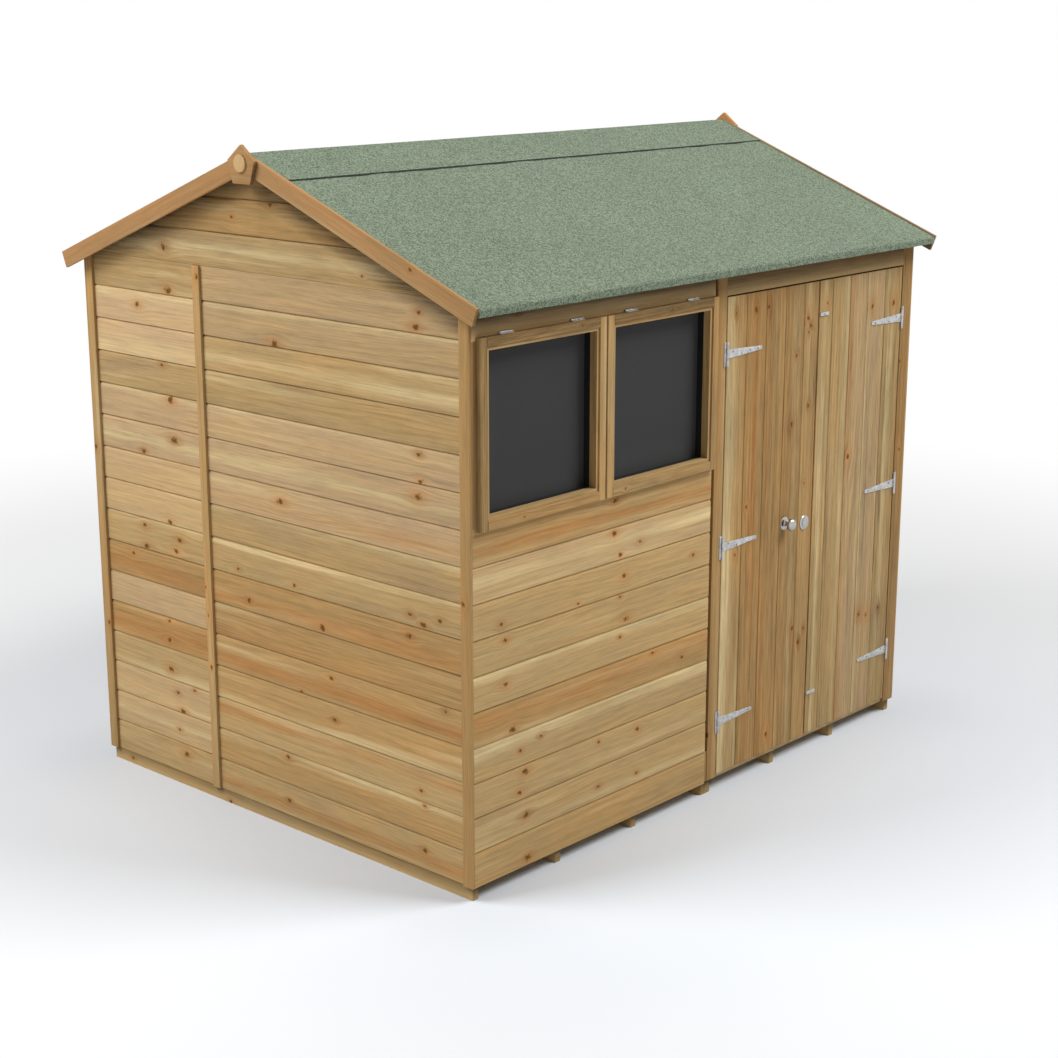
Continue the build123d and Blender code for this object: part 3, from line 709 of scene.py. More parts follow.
def nearest_knot(knots, along, across):
    """The closest knot that reaches a place on a board."""
    near = [k for k in knots if abs(along - k[0]) <= KNOT_REACH * k[2]]
    return min(near, key=lambda k: math.hypot(along - k[0], across - k[1]), default=None)


def sweep(outline, start, end, placing):
    """A bmesh of an outline of width and depth, drawn along a board."""
    mesh = bmesh.new()
    rings = [[mesh.verts.new(placing.point(at, w, d)) for w, d in outline] for at in (start, end)]
    mesh.faces.new(rings[0])
    mesh.faces.new(rings[1])
    for number in range(len(outline)):
        after = (number + 1) % len(outline)
        mesh.faces.new((rings[0][number], rings[0][after], rings[1][after], rings[1][number]))
    bmesh.ops.recalc_face_normals(mesh, faces=mesh.faces[:])
    return mesh


def trim_to(mesh, point, normal):
    """Cuts away what lies past a plane and closes the cut."""
    parts = mesh.verts[:] + mesh.edges[:] + mesh.faces[:]
    made = bmesh.ops.bisect_plane(
        mesh, geom=parts, dist=1e-6, plane_co=point, plane_no=normal, clear_outer=True)
    rim = [e for e in made["geom_cut"] if isinstance(e, bmesh.types.BMEdge)]
    if rim:
        bmesh.ops.contextual_create(mesh, geom=rim)
        bmesh.ops.recalc_face_normals(mesh, faces=mesh.faces[:])


def shiplap(low, high, thickness, first, last):
    """Outline of one cladding board between two heights: a nose over the board below, a hollow at the top."""
    hollow_points, hollow_curve = 5, 1.8
    sizes = bpy.context.scene.shed_boards
    nose, step = sizes.arris, sizes.scoop_depth
    if first:
        outline = [(low, thickness), (low, nose), (low + nose, 0.0)]
    else:
        rebate = step + sizes.play / 2
        outline = [
            (low + sizes.lap + sizes.play, thickness), (low + sizes.lap + sizes.play, rebate),
            (low + sizes.play, rebate), (low + sizes.play, nose), (low + sizes.play + nose, 0.0),
        ]
    if last:
        return outline + [(high, 0.0), (high, thickness)]
    for number in range(hollow_points):
        share = number / (hollow_points - 1)
        outline.append((high - sizes.scoop * (1 - share), step * share ** hollow_curve))
    tongue = high + sizes.lap
    return outline + [(tongue, step + sizes.play), (tongue, thickness)]


def groove_board(low, high, thickness, first, last):
    """Outline of one tongued door board between two places, with a chamfer at each groove."""
    sizes = bpy.context.scene.shed_boards
    chamfer, half = sizes.groove, sizes.play / 4
    tongue = sizes.lap * 0.8
    front, back = thickness * 0.42, thickness * 0.68
    outline = [(low + (0 if first else half), chamfer * (0.5 if first else 1))]
    outline.append((low + (chamfer * 0.5 if first else half + chamfer), 0.0))
    outline.append((high - (chamfer * 0.5 if last else half + chamfer), 0.0))
    outline.append((high - (0 if last else half), chamfer * (0.5 if last else 1)))
    if not last:
        outline += [
            (high - half, front), (high + tongue, front), (high + tongue, back), (high - half, back),
        ]
    outline.append((high - (0 if last else half), thickness))
    outline.append((low + (0 if first else half), thickness))
    if not first:
        slot = low + tongue + 2 * half
        outline += [
            (low + half, back + half), (slot, back + half), (slot, front - half), (low + half, front - half),
        ]
    return outline


def courses(bottom, lowest, cover, top):
    """Lines between the boards of a wall, from the bottom up. The top board takes up what is left."""
    widest_top = 1.2
    lines = [bottom, bottom + lowest]
    while lines[-1] + cover * widest_top < top:
        lines.append(lines[-1] + cover)
    return lines + [top]


def streak_between(low, high, streak):
    """A streak in shares of a board's width, as places between the board's edges."""
    if streak is None:
        return None
    place, width, strength = streak
    return low + place * (high - low), width * (high - low), strength


def clad(boards, placing, span, lines, thickness, tones, knots, cuts=()):
    """Courses of shiplap from the bottom up. Tones run from the top down; knots are along and up the wall."""
    streak_chance, streak_width, strongest = 0.6, 0.16, 0.7
    count = len(lines) - 1
    for number in range(count):
        low, high = lines[number], lines[number + 1]
        outline = shiplap(low, high, thickness, number == 0, number == count - 1)
        mesh = sweep(outline, *span, placing)
        for point, normal in cuts:
            trim_to(mesh, point, normal)
        if tones:
            tone, streak = tones[count - 1 - number]
        else:
            tone, streak = boards.random.choice(PLAIN_TONES), None
            if boards.random.random() < streak_chance:
                streak = boards.random.random(), streak_width, boards.random.uniform(-strongest, strongest)
        here = [k for k in knots if low < k[1] < high and span[0] < k[0] < span[1]]
        boards.add(mesh, placing, here, TONES[tone], streak_between(low, high, streak))


def scattered_knots(source, span, low, high):
    """Knots for a plain wall, in loose columns as a tree grows them."""
    chance, aside = 0.34, 0.07
    spacing = SIDE_KNOT_SPACING
    knots = []
    height = low
    while height < high:
        height += source.uniform(0.05, 0.12)
        for column in range(int((span[1] - span[0]) / spacing)):
            if source.random() < chance:
                along = span[0] + spacing * (column + 0.5) + source.uniform(-aside, aside)
                knots.append((along, height, source.uniform(0.006, 0.014)))
    return knots


def islands(node):
    """The separate solids of a CAD node, as bmeshes with whole flat faces."""
    whole = bmesh.new()
    whole.from_mesh(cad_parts[node].data)
    bmesh.ops.remove_doubles(whole, verts=whole.verts[:], dist=1e-5)
    left = set(whole.verts)
    found = []
    for start in whole.verts:
        if start not in left:
            continue
        reached, waiting = {start}, [start]
        while waiting:
            for edge in waiting.pop().link_edges:
                for vert in edge.verts:
                    if vert not in reached:
                        reached.add(vert)
                        waiting.append(vert)
        left -= reached
        part = bmesh.new()
        copies = {v: part.verts.new(v.co) for v in whole.verts if v in reached}
        for face in whole.faces:
            if face.verts[0] in copies:
                part.faces.new([copies[v] for v in face.verts])
        bmesh.ops.dissolve_limit(
            part, angle_limit=math.radians(1.5), verts=part.verts[:], edges=part.edges[:])
        found.append(part)
    whole.free()
    return found


def soften(mesh, size):
    """Rounds the sharp edges."""
    mesh.normal_update()
    sharp = [e for e in mesh.edges if len(e.link_faces) == 2 and e.calc_face_angle(0) > CREASE]
    bmesh.ops.bevel(
        mesh, geom=sharp, offset=size, segments=2, profile=0.6, affect="EDGES", clamp_overlap=True)
    bmesh.ops.recalc_face_normals(mesh, faces=mesh.faces[:])


def lie_of(mesh):
    """Placing of a plain plank: along its longest edge, facing out of its largest side."""
    mesh.normal_update()
    sharp = [e for e in mesh.edges if e.calc_face_angle(0) > CREASE]
    longest = max(sharp, key=lambda e: e.calc_length())
    along = (longest.verts[1].co - longest.verts[0].co).normalized()
    sides = [f for f in mesh.faces if abs(f.normal.dot(along)) < 0.2]
    out = max(sides, key=lambda f: f.calc_area()).normal.copy()
    across = out.cross(along)
    reach = [v.co for v in mesh.verts]
    origin = along * min(p.dot(along) for p in reach) + across * min(p.dot(across) for p in reach)
    return Placing(origin + out * max(p.dot(out) for p in reach), along, across)


def planks(name, node, look, slot, body, seed, tones, arris=None, knots_a_metre=0.8, lit_way=None, fade=NO_FADE,
           marks=()):
    """A CAD node's plain planks, with rounded edges and their own grain. Marks are knots given one by one."""
    boards = Boards(seed)
    for number, mesh in enumerate(islands(node)):
        placing = lie_of(mesh)
        reach = [placing.local(v.co) for v in mesh.verts]
        length = max(r[0] for r in reach)
        width = max(r[1] for r in reach)
        soften(mesh, arris or bpy.context.scene.shed_boards.arris)
        knots = []
        for _ in range(int(length * knots_a_metre + boards.random.random())):
            knots.append((boards.random.uniform(0.05, 0.95) * length, boards.random.uniform(0.1, 0.9) * width,
                          boards.random.uniform(0.004, min(0.011, 0.25 * width))))
        for point, radius in marks:
            along, across, _ = placing.local(Vector(point))
            if 0 < along < length and 0 < across < width:
                knots.append((along, across, radius))
        streak = (boards.random.random() * width, 0.25 * width, boards.random.uniform(-0.5, 0.4))
        boards.add(mesh, placing, knots, TONES[tones[number % len(tones)]], streak, lit_way, fade)
    boards.build(name, look, body, slot, node)


def fittings(name, node, look, slot, body, arris):
    """A CAD node's metal pieces with rounded edges."""
    joined = bmesh.new()
    for mesh in islands(node):
        soften(mesh, arris)
        copies = {v: joined.verts.new(v.co) for v in mesh.verts}
        for face in mesh.faces:
            joined.faces.new([copies[v] for v in face.verts])
        mesh.free()
    made = bpy.data.meshes.new(name)
    joined.to_mesh(made)
    joined.free()
    dress(name, made, look, body, slot, node)


def lathe(outline, centre, out, turns):
    """Points and faces of an outline of radius and reach, turned about a line."""
    side = out.orthogonal().normalized()
    up = out.cross(side)
    points, faces = [], []
    for radius, reach in outline:
        for number in range(turns):
            angle = 2 * math.pi * number / turns
            points.append(centre + out * reach + (side * math.cos(angle) + up * math.sin(angle)) * radius)
    for ring in range(len(outline) - 1):
        for number in range(turns):
            after = (number + 1) % turns
            faces.append((ring * turns + number, ring * turns + after,
                          (ring + 1) * turns + after, (ring + 1) * turns + number))
    faces.append(tuple(reversed(range(turns))))
    faces.append(tuple(range((len(outline) - 1) * turns, len(outline) * turns)))
    return points, faces


def turned(name, parts, look, slot, body, *nodes):
    """A piece of one or more turned forms, each an outline, a centre, a direction and a count of sides."""
    points, faces = [], []
    for outline, centre, out, turns in parts:
        more, rings = lathe(outline, Vector(centre), Vector(out), turns)
        faces.extend(tuple(len(points) + number for number in ring) for ring in rings)
        points.extend(more)
    mesh = bpy.data.meshes.new(name)
    mesh.from_pydata(points, [], faces)
    dress(name, mesh, look, body, slot, *nodes)


def face_outwards(mesh):
    """Turns the faces of a closed mesh outwards."""
    closed = bmesh.new()
    closed.from_mesh(mesh)
    bmesh.ops.recalc_face_normals(closed, faces=closed.faces[:])
    closed.to_mesh(mesh)
    closed.free()


# Operators


class SHED_OT_stage(bpy.types.Operator):
    """Makes the floor, the light and the camera"""

    bl_idname = "shed.stage"
    bl_label = "Stage"

    GABLE_LAMP = (-6.0, 3.2, 7.5)
    FRONT_LAMP = (3.6, -5.6, 8.5)
    LAMP_SIZE = 5.0
    LAMP_TARGET = (0.0, 0.0, 0.9)
    # Degrees of tilt up from straight down, and of turn from the back
    CAMERA_PLACE = (-5.31124, -4.90754, 2.72131)
    CAMERA_TILT = 90 - 14.827
    CAMERA_HEADING = -47.705
    SENSOR = 36.0
    VIEW_END = 200.0
    FLOOR_REACH = 60.0
    # Distances from the middle over which the floor turns white, loses its painted light and loses its cool
    # tint
    TURNS_WHITE = (1.9, 6.0)
    NEAR_FLOOR = (2.2, 4.2)
    COOL_FLOOR = (1.5, 3.0)
    # Painted shadow: the floor is painted a little darker beside the walls and by the near corner
    WALL_HALVES = (1.2, 0.95)
    WALL_SHADE = 0.45
    CORNER_SHADOW_MIDDLE = (-1.5, -1.35)

    def execute(self, context):
        look = context.scene.shed_stage
        context.scene.view_settings.view_transform = "Standard"
        self.add_floor(look)
        self.add_sky(context, look)
        self.add_lamp("gable_lamp", self.GABLE_LAMP, look.gable_lamp)
        self.add_lamp("front_lamp", self.FRONT_LAMP, look.front_lamp)
        camera = bpy.data.cameras.new("photo_camera")
        camera.lens = look.lens
        camera.sensor_width = self.SENSOR
        camera.clip_end = self.VIEW_END
        holder = bpy.data.objects.new("photo_camera", camera)
        holder.location = self.CAMERA_PLACE
        holder.rotation_euler = (math.radians(self.CAMERA_TILT), 0, math.radians(self.CAMERA_HEADING))
        context.scene.collection.objects.link(holder)
        context.scene.camera = holder
        return {"FINISHED"}

    def add_floor(self, look):
        """Pale floor that fades to white far off, with painted light near the shed and painted shadow by the
        walls.
        """
        mesh = bpy.data.meshes.new("floor")
        far = self.FLOOR_REACH
        corners = [(-far, -far, 0), (far, -far, 0), (far, far, 0), (-far, far, 0)]
        mesh.from_pydata(corners, [], [(0, 1, 2, 3)])
        floor = bpy.data.objects.new("floor", mesh)
        bpy.context.scene.collection.objects.link(floor)
        material, tree, give = new_finish("pale_floor")
        mesh.materials.append(material)
        place, x, y, _ = tree.place()
        reach = (x * x + y * y).root()
        away = reach.step(*self.TURNS_WHITE)
        beside = [(part.math("ABSOLUTE") - half).above(0.0) for part, half in zip((x, y), self.WALL_HALVES)]
        painted_wall_shadow = 1.0 - (beside[0] * beside[0] + beside[1] * beside[1]).root().step(0.0, self.WALL_SHADE)
        corner = [part - middle for part, middle in zip((x, y), self.CORNER_SHADOW_MIDDLE)]
        corner = ((corner[0] * corner[0] + corner[1] * corner[1]) * -0.9).exp()
        tint = tree.mix(reach.step(*self.NEAR_FLOOR), look.painted_light_floor, look.floor)
        tint = tree.mix((1.0 - reach.step(*self.COOL_FLOOR)) * 0.3, tint, look.cool_floor)
        # Painted shadow beside the walls and by the near corner
        tint = tree.dim(tint, (1.0 - painted_wall_shadow * 0.08) * (1.0 - corner * 0.12))
        give(Base_Color=tint, Roughness=0.8 + tree.noise(place, 6.0) * 0.1, Specular_IOR_Level=0.1)
        surface = Value(tree, material.node_tree.nodes["Principled BSDF"].outputs[0])
        white = tree.node("ShaderNodeEmission", None, {"Color": (1, 1, 1, 1), "Strength": 1.0})["Emission"]
        mixed = tree.node("ShaderNodeMixShader", None, {0: away * seen(tree), 1: surface, 2: white})["Shader"]
        output = material.node_tree.nodes["Material Output"]
        material.node_tree.links.new(mixed.socket, output.inputs["Surface"])

    def add_sky(self, context, look):
        """Even light from all round, and white wherever the camera or a reflection looks past the floor."""
        world = bpy.data.worlds.new("studio")
        world.use_nodes = True
        context.scene.world = world
        tree = Tree(world.node_tree)
        light, white = [
            tree.node("ShaderNodeBackground", None, {"Color": (1, 1, 1, 1), "Strength": power})["Background"]
            for power in (look.sky, 1.0)
        ]
        mixed = tree.node("ShaderNodeMixShader", None, {0: seen(tree), 1: light, 2: white})["Shader"]
        world.node_tree.links.new(mixed.socket, world.node_tree.nodes["World Output"].inputs["Surface"])

    def add_lamp(self, name, place, power):
        """Large soft lamp that looks at the shed."""
        lamp = bpy.data.lights.new(name, "AREA")
        lamp.size = self.LAMP_SIZE
        lamp.energy = power
        holder = bpy.data.objects.new(name, lamp)
        holder.location = place
        way = Vector(self.LAMP_TARGET) - Vector(place)
        holder.rotation_euler = way.to_track_quat("-Z", "Y").to_euler()
        bpy.context.scene.collection.objects.link(holder)


def seen(tree):
    """One for rays of the camera, of reflections and through glass, nought for rays that light things."""
    path = tree.node("ShaderNodeLightPath")
    return path["Is Camera Ray"].above(path["Is Glossy Ray"]).above(path["Is Transmission Ray"])


class SHED_OT_wall_boards(bpy.types.Operator):
    """Makes the shiplap of the two gable walls and the back"""

    bl_idname = "shed.wall_boards"
    bl_label = "Side and back boards"

    def execute(self, context):
        sizes = context.scene.shed_boards
        low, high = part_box("left_wall_panels")
        lines = courses(low.z, sizes.lowest, sizes.cover, high.z)
        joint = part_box("cover_strips")[0].y + STRIP_HALF
        self.gable(-1, low, high, lines, joint)
        self.gable(1, *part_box("right_wall_panels"), lines, joint)
        self.back(lines)
        return {"FINISHED"}

    def gable(self, side, low, high, lines, joint):
        """One gable wall and its triangle. The left one has listed boards and knots."""
        name = "left" if side < 0 else "right"
        face = low.x if side < 0 else high.x
        thickness = high.x - low.x
        placing = Placing((face, 0, 0), -Y if side < 0 else Y, Z)
        half = PANEL_GAP / 2
        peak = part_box(f"{name}_gable")[1].z
        cosine, sine = math.cos(ROOF_PITCH), math.sin(ROOF_PITCH)
        slopes = [(Vector((face, 0, peak)), Vector((0, way * sine, cosine))) for way in (-1, 1)]

        # Painted shadow: how much darker a gable board is painted just under the bargeboards, by its depth
        # below the slope
        def shade(point):
            deep = (peak - point.z) * cosine - abs(point.y) * sine
            full, none, amount = SLOPE_PAINTED_SHADOW[point.y > 0]
            return amount * min(1.0, max(0.0, (none - deep) / (none - full)))

        painted_shadow_lines = []
        for (point, normal), (full, none, _) in zip(slopes, SLOPE_PAINTED_SHADOW):
            painted_shadow_lines += [(point - normal * deep, normal) for deep in (full, none)]
        boards = Boards(11 + side, shade, painted_shadow_lines)
        spans = [(low.y, joint - half), (joint + half, high.y)]
        panels = [FRONT_PANEL, REAR_PANEL]
        if side > 0:
            panels = [None, None]
            knots = scattered_knots(boards.random, (low.y, high.y), low.z, lines[-1] + GABLE_KNOT_RISE)
        else:
            knots = [(-along, up, radius) for along, up, radius in GABLE_KNOTS]
            spans = [(-end, -start) for start, end in spans]
        for span, tones in zip(spans, panels):
            clad(boards, placing, span, lines, thickness, tones, knots)
        boards.build(f"{name}_wall_boards", "shiplap_wood", "shed", "cladding_wood", f"{name}_wall_panels")
        triangle = Boards(21 + side, shade, painted_shadow_lines)
        cover = bpy.context.scene.shed_boards.cover
        rise = [lines[-1], lines[-1] + cover, lines[-1] + 2 * cover, peak]
        tones = GABLE_TONES if side < 0 else None
        clad(triangle, placing, (low.y, high.y), rise, thickness, tones, knots, slopes)
        triangle.build(f"{name}_gable_boards", "shiplap_wood", "shed", "cladding_wood", f"{name}_gable")

    def back(self, lines):
        """The two panels of the back wall."""
        low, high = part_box("back_wall_panels")
        boards = Boards(31)
        placing = Placing((0, high.y, 0), -X, Z)
        half = PANEL_GAP / 2
        knots = scattered_knots(boards.random, (low.x, high.x), low.z, high.z)
        for span in ((low.x, -half), (half, high.x)):
            clad(boards, placing, span, lines, high.y - low.y, None, knots)
        boards.build("back_wall_boards", "shiplap_wood", "shed", "cladding_wood", "back_wall_panels")


class SHED_OT_front_boards(bpy.types.Operator):
    """Makes the shiplap below the windows"""

    bl_idname = "shed.front_boards"
    bl_label = "Front boards"

    def execute(self, context):
        sizes = context.scene.shed_boards
        low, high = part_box("front_window_panel")
        boards = Boards(41)
        placing = Placing((0, low.y, 0), X, Z)
        lines = courses(low.z, sizes.front_lowest, sizes.cover, high.z)
        clad(boards, placing, (low.x, high.x), lines, high.y - low.y, FRONT_TONES, FRONT_KNOTS)
        boards.build("front_wall_boards", "shiplap_wood", "shed", "cladding_wood", "front_window_panel")
        return {"FINISHED"}


class SHED_OT_trims(bpy.types.Operator):
    """Makes the corner trims, cover strips, posts and head boards"""

    bl_idname = "shed.trims"
    bl_label = "Trims and posts"

    def execute(self, context):
        # The head boards take the darker eave-shaded finish and are painted darker upwards, as shadow of the
        # eaves; the window head's tone is painted light towards its foot
        for number, (node, look, slot, tones) in enumerate((
            ("corner_trims", "trim_wood", "trim_wood", ("honey", "tan", "honey", "tan")),
            ("cover_strips", "trim_wood", "trim_wood", ("gold",)),
            ("window_posts", "trim_wood", "trim_wood", ("pale", "tan", "tan")),
            ("window_head", "head_wood", "cladding_wood", ("painted_lit_foot",)),
            ("door_post_left", "trim_wood", "trim_wood", ("brown",)),
            ("door_post_right", "trim_wood", "trim_wood", ("dark",)),
            ("door_head", "head_wood", "trim_wood", ("honey",)),
        )):
            fade = HEAD_EAVE_SHADOWS.get(node, NO_FADE)
            marks = STRIP_KNOTS if node == "cover_strips" else ()
            planks(f"{node}_wood", node, look, slot, "shed", 51 + number, tones, fade=fade, marks=marks)
        return {"FINISHED"}


class SHED_OT_windows(bpy.types.Operator):
    """Makes the sashes, seals, panes and sash hinges"""

    bl_idname = "shed.windows"
    bl_label = "Windows"

    # Width of a stile's face alone and with its bead, depth of the bead's step and of the stile, and the
    # bead's lap behind the stile
    FACE = 0.031
    STILE = 0.0415
    STEP = 0.0055
    PROUD = 0.020
    LAP = 0.012
    JOINT = 0.0003
    RAIL_KNOT = (0.016, 0.004)
    STREAK_WIDTH = 0.008

    def execute(self, context):
        for number, side in enumerate(("left", "right")):
            self.sash(side, 61 + number)
        recoat("window_seals", "black_seal")
        recoat("window_panes", "dark_pane")
        fittings("sash_butt_hinges", "window_hinges", "galvanised_steel", "galvanised_steel", "shed",
                 STEEL_ARRIS)
        return {"FINISHED"}

    def sash(self, side, seed):
        """Stiles of full height, rails between them, and a stepped bead mitred inside."""
        node = f"{side}_sash"
        low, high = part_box(node)
        boards = Boards(seed)
        arris = bpy.context.scene.shed_boards.arris
        wide, deep, tall = high - low
        outline = [
            (0, self.PROUD), (0, arris), (arris, 0), (self.FACE - arris, 0), (self.FACE, arris),
            (self.FACE, self.PROUD),
        ]
        bead = [
            (self.FACE, self.PROUD), (self.FACE, self.STEP), (self.STILE - arris / 2, self.STEP),
            (self.STILE, self.STEP + arris / 2), (self.STILE, deep), (self.LAP, deep), (self.LAP, self.PROUD),
        ]
        corners = (
            ((low.x, low.y, high.z), -Z, X, tall, True), ((high.x, low.y, low.z), Z, -X, tall, True),
            ((low.x, low.y, low.z), X, Z, wide, False), ((high.x, low.y, high.z), -X, -Z, wide, False),
        )
        for number, (corner, along, across, length, upright) in enumerate(corners):
            placing = Placing(corner, along, across)
            inset = 0 if upright else self.FACE + self.JOINT
            knots = [] if upright else [(boards.random.uniform(0.1, 0.9) * length, *self.RAIL_KNOT)]
            streak = (self.FACE * boards.random.random(), self.STREAK_WIDTH, boards.random.uniform(-0.5, 0.5))
            mesh = sweep(outline, inset, length - inset, placing)
            boards.add(mesh, placing, knots, TONES[SASH_TONES[side][number]], streak)
            mesh = sweep(bead, self.LAP, length - self.LAP, placing)
            for at, way in ((0, -1), (length, 1)):
                trim_to(mesh, placing.point(at, 0, 0), (along * way + across).normalized())
            boards.add(mesh, placing, (), TONES[BEAD_TONES[number]])
        boards.build(f"{node}_frame", "sash_wood", "shed", "sash_wood", node)


class SHED_OT_doors(bpy.types.Operator):
    """Makes the boards of the two leaves, with their ledges and braces"""

    bl_idname = "shed.doors"
    bl_label = "Doors"

    def execute(self, context):
        self.leaf("left", LEFT_GROOVES, LEFT_LEAF_TONES, 71)
        self.leaf("right", RIGHT_GROOVES, RIGHT_LEAF_TONES, 72)
        return {"FINISHED"}

    def leaf(self, side, grooves, tones, seed):
        """Upright tongued boards of one leaf."""
        node = f"{side}_door"
        low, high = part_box(node)
        boards = Boards(seed)
        edges = [low.x, *grooves, high.x]
        placing = Placing((0, low.y, 0), -Z, X)
        count = len(edges) - 1
        for number in range(count):
            start, end = edges[number], edges[number + 1]
            outline = groove_board(start, end, high.y - low.y, number == 0, number == count - 1)
            mesh = sweep(outline, -high.z, -low.z, placing)
            knots = [(-up, along, radius) for along, up, radius in DOOR_KNOTS if start < along < end]
            tone, streak = tones[number]
            boards.add(mesh, placing, knots, TONES[tone], streak_between(start, end, streak))
        boards.build(f"{node}_boards", "door_wood", f"{side}_leaf", "door_wood", node)
        planks(f"{side}_door_ledge_boards", f"{side}_door_ledges", "frame_wood", "frame_wood", f"{side}_leaf",
               seed + 5, ("tan", "honey", "pale"))


class SHED_OT_hardware(bpy.types.Operator):
    """Makes the T hinges with their screws, the knob, the escutcheon and the catches"""

    bl_idname = "shed.hardware"
    bl_label = "Hinges and knob"

    CATCH_ARRIS = 0.0006
    STRAP = 0.0025
    STRAP_START = 0.010
    STRAP_ENDS = 0.018
    # Screws along a strap, as share of its length and lift above its middle
    STRAP_SCREWS = ((0.16, 0.007), (0.42, -0.006), (0.68, 0.0), (0.92, 0.0))
    SCREW_RADIUS = 0.0036
    SCREW_SIDES = 20
    # Outlines as share of the radius and, for screw head and rose, reach; the plate's reach is a share too
    SCREW_HEAD = ((1, 0), (1, 0.0005), (0.75, 0.0012), (0.42, 0.0014), (0.30, 0.0006), (0.05, 0.0005))
    ROSE = (
        (1, 0), (1, 0.0014), (0.93, 0.0026), (0.72, 0.0036), (0.5, 0.004), (0.42, 0.0048), (0.34, 0.008),
        (0.33, 0.017),
    )
    PLATE = (
        (1, 0), (1, 0.25), (0.96, 0.42), (0.86, 0.5), (0.66, 0.5), (0.62, 0.55), (0.6, 0.8), (0.54, 0.95),
        (0.4, 1), (0.2, 0.97), (0.02, 0.96),
    )
    KNOB_NECK = 0.019
    KNOB_PLAY = 0.0005
    KNOB_RINGS = 15
    TURNED_SIDES = 48

    def execute(self, context):
        fittings("hinge_plates_steel", "hinge_plates", "galvanised_steel", "galvanised_steel", "shed",
                 STEEL_ARRIS)
        for side in ("left", "right"):
            node = f"{side}_hinge_straps"
            fittings(f"{node}_steel", node, "galvanised_steel", "galvanised_steel", f"{side}_leaf",
                     STEEL_ARRIS)
            self.strap_screws(side, node)
        fittings("door_catches_steel", "door_catches", "galvanised_steel", "bright_steel", "right_leaf",
                 self.CATCH_ARRIS)
        self.knob()
        self.escutcheon()
        return {"FINISHED"}

    def strap_screws(self, side, node):
        """Small round heads along each strap."""
        head = [(self.SCREW_RADIUS * share, reach) for share, reach in self.SCREW_HEAD]
        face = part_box("left_door")[0].y - self.STRAP
        parts = []
        for mesh in islands(node):
            places = [v.co.x for v in mesh.verts]
            heights = [v.co.z for v in mesh.verts]
            low, high, middle = min(places), max(places), (min(heights) + max(heights)) / 2
            for share, lift in self.STRAP_SCREWS:
                away = self.STRAP_START + share * (high - low - self.STRAP_ENDS)
                at = low + away if side == "left" else high - away
                parts.append((head, (at, face, middle + lift), -Y, self.SCREW_SIDES))
            mesh.free()
        turned(f"{side}_strap_screws", parts, "screw_steel", "galvanised_steel", f"{side}_leaf")

    def knob(self):
        """Turned knob on a round rose, smoother than the CAD solid and inside it."""
        low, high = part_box("door_knob")
        radius, reach = (high.x - low.x) / 2, high.y - low.y
        outline = [(radius * share, out) for share, out in self.ROSE]
        for number in range(self.KNOB_RINGS):
            angle = math.pi * (0.12 + 0.86 * number / (self.KNOB_RINGS - 1))
            if angle < math.pi / 2:
                share = 0.33 + 0.60 * math.sin(angle)
            else:
                share = 0.93 * math.sin(angle) ** 0.8
            length = reach - self.KNOB_NECK - self.KNOB_PLAY
            outline.append((radius * share, self.KNOB_NECK + length * (0.5 - 0.5 * math.cos(angle))))
        self.round_plate("door_knob", outline)

    def escutcheon(self):
        """Dished plate with a round boss."""
        low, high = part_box("door_escutcheon")
        radius, reach = (high.x - low.x) / 2, high.y - low.y
        self.round_plate("door_escutcheon", [(radius * share, reach * out) for share, out in self.PLATE])

    def round_plate(self, node, outline):
        """A turned fitting of the left leaf, in the place of its CAD node."""
        low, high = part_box(node)
        centre = ((low.x + high.x) / 2, high.y, (low.z + high.z) / 2)
        parts = [(outline, centre, -Y, self.TURNED_SIDES)]
        turned(f"{node}_turned", parts, "bright_steel", "bright_steel", "left_leaf", node)


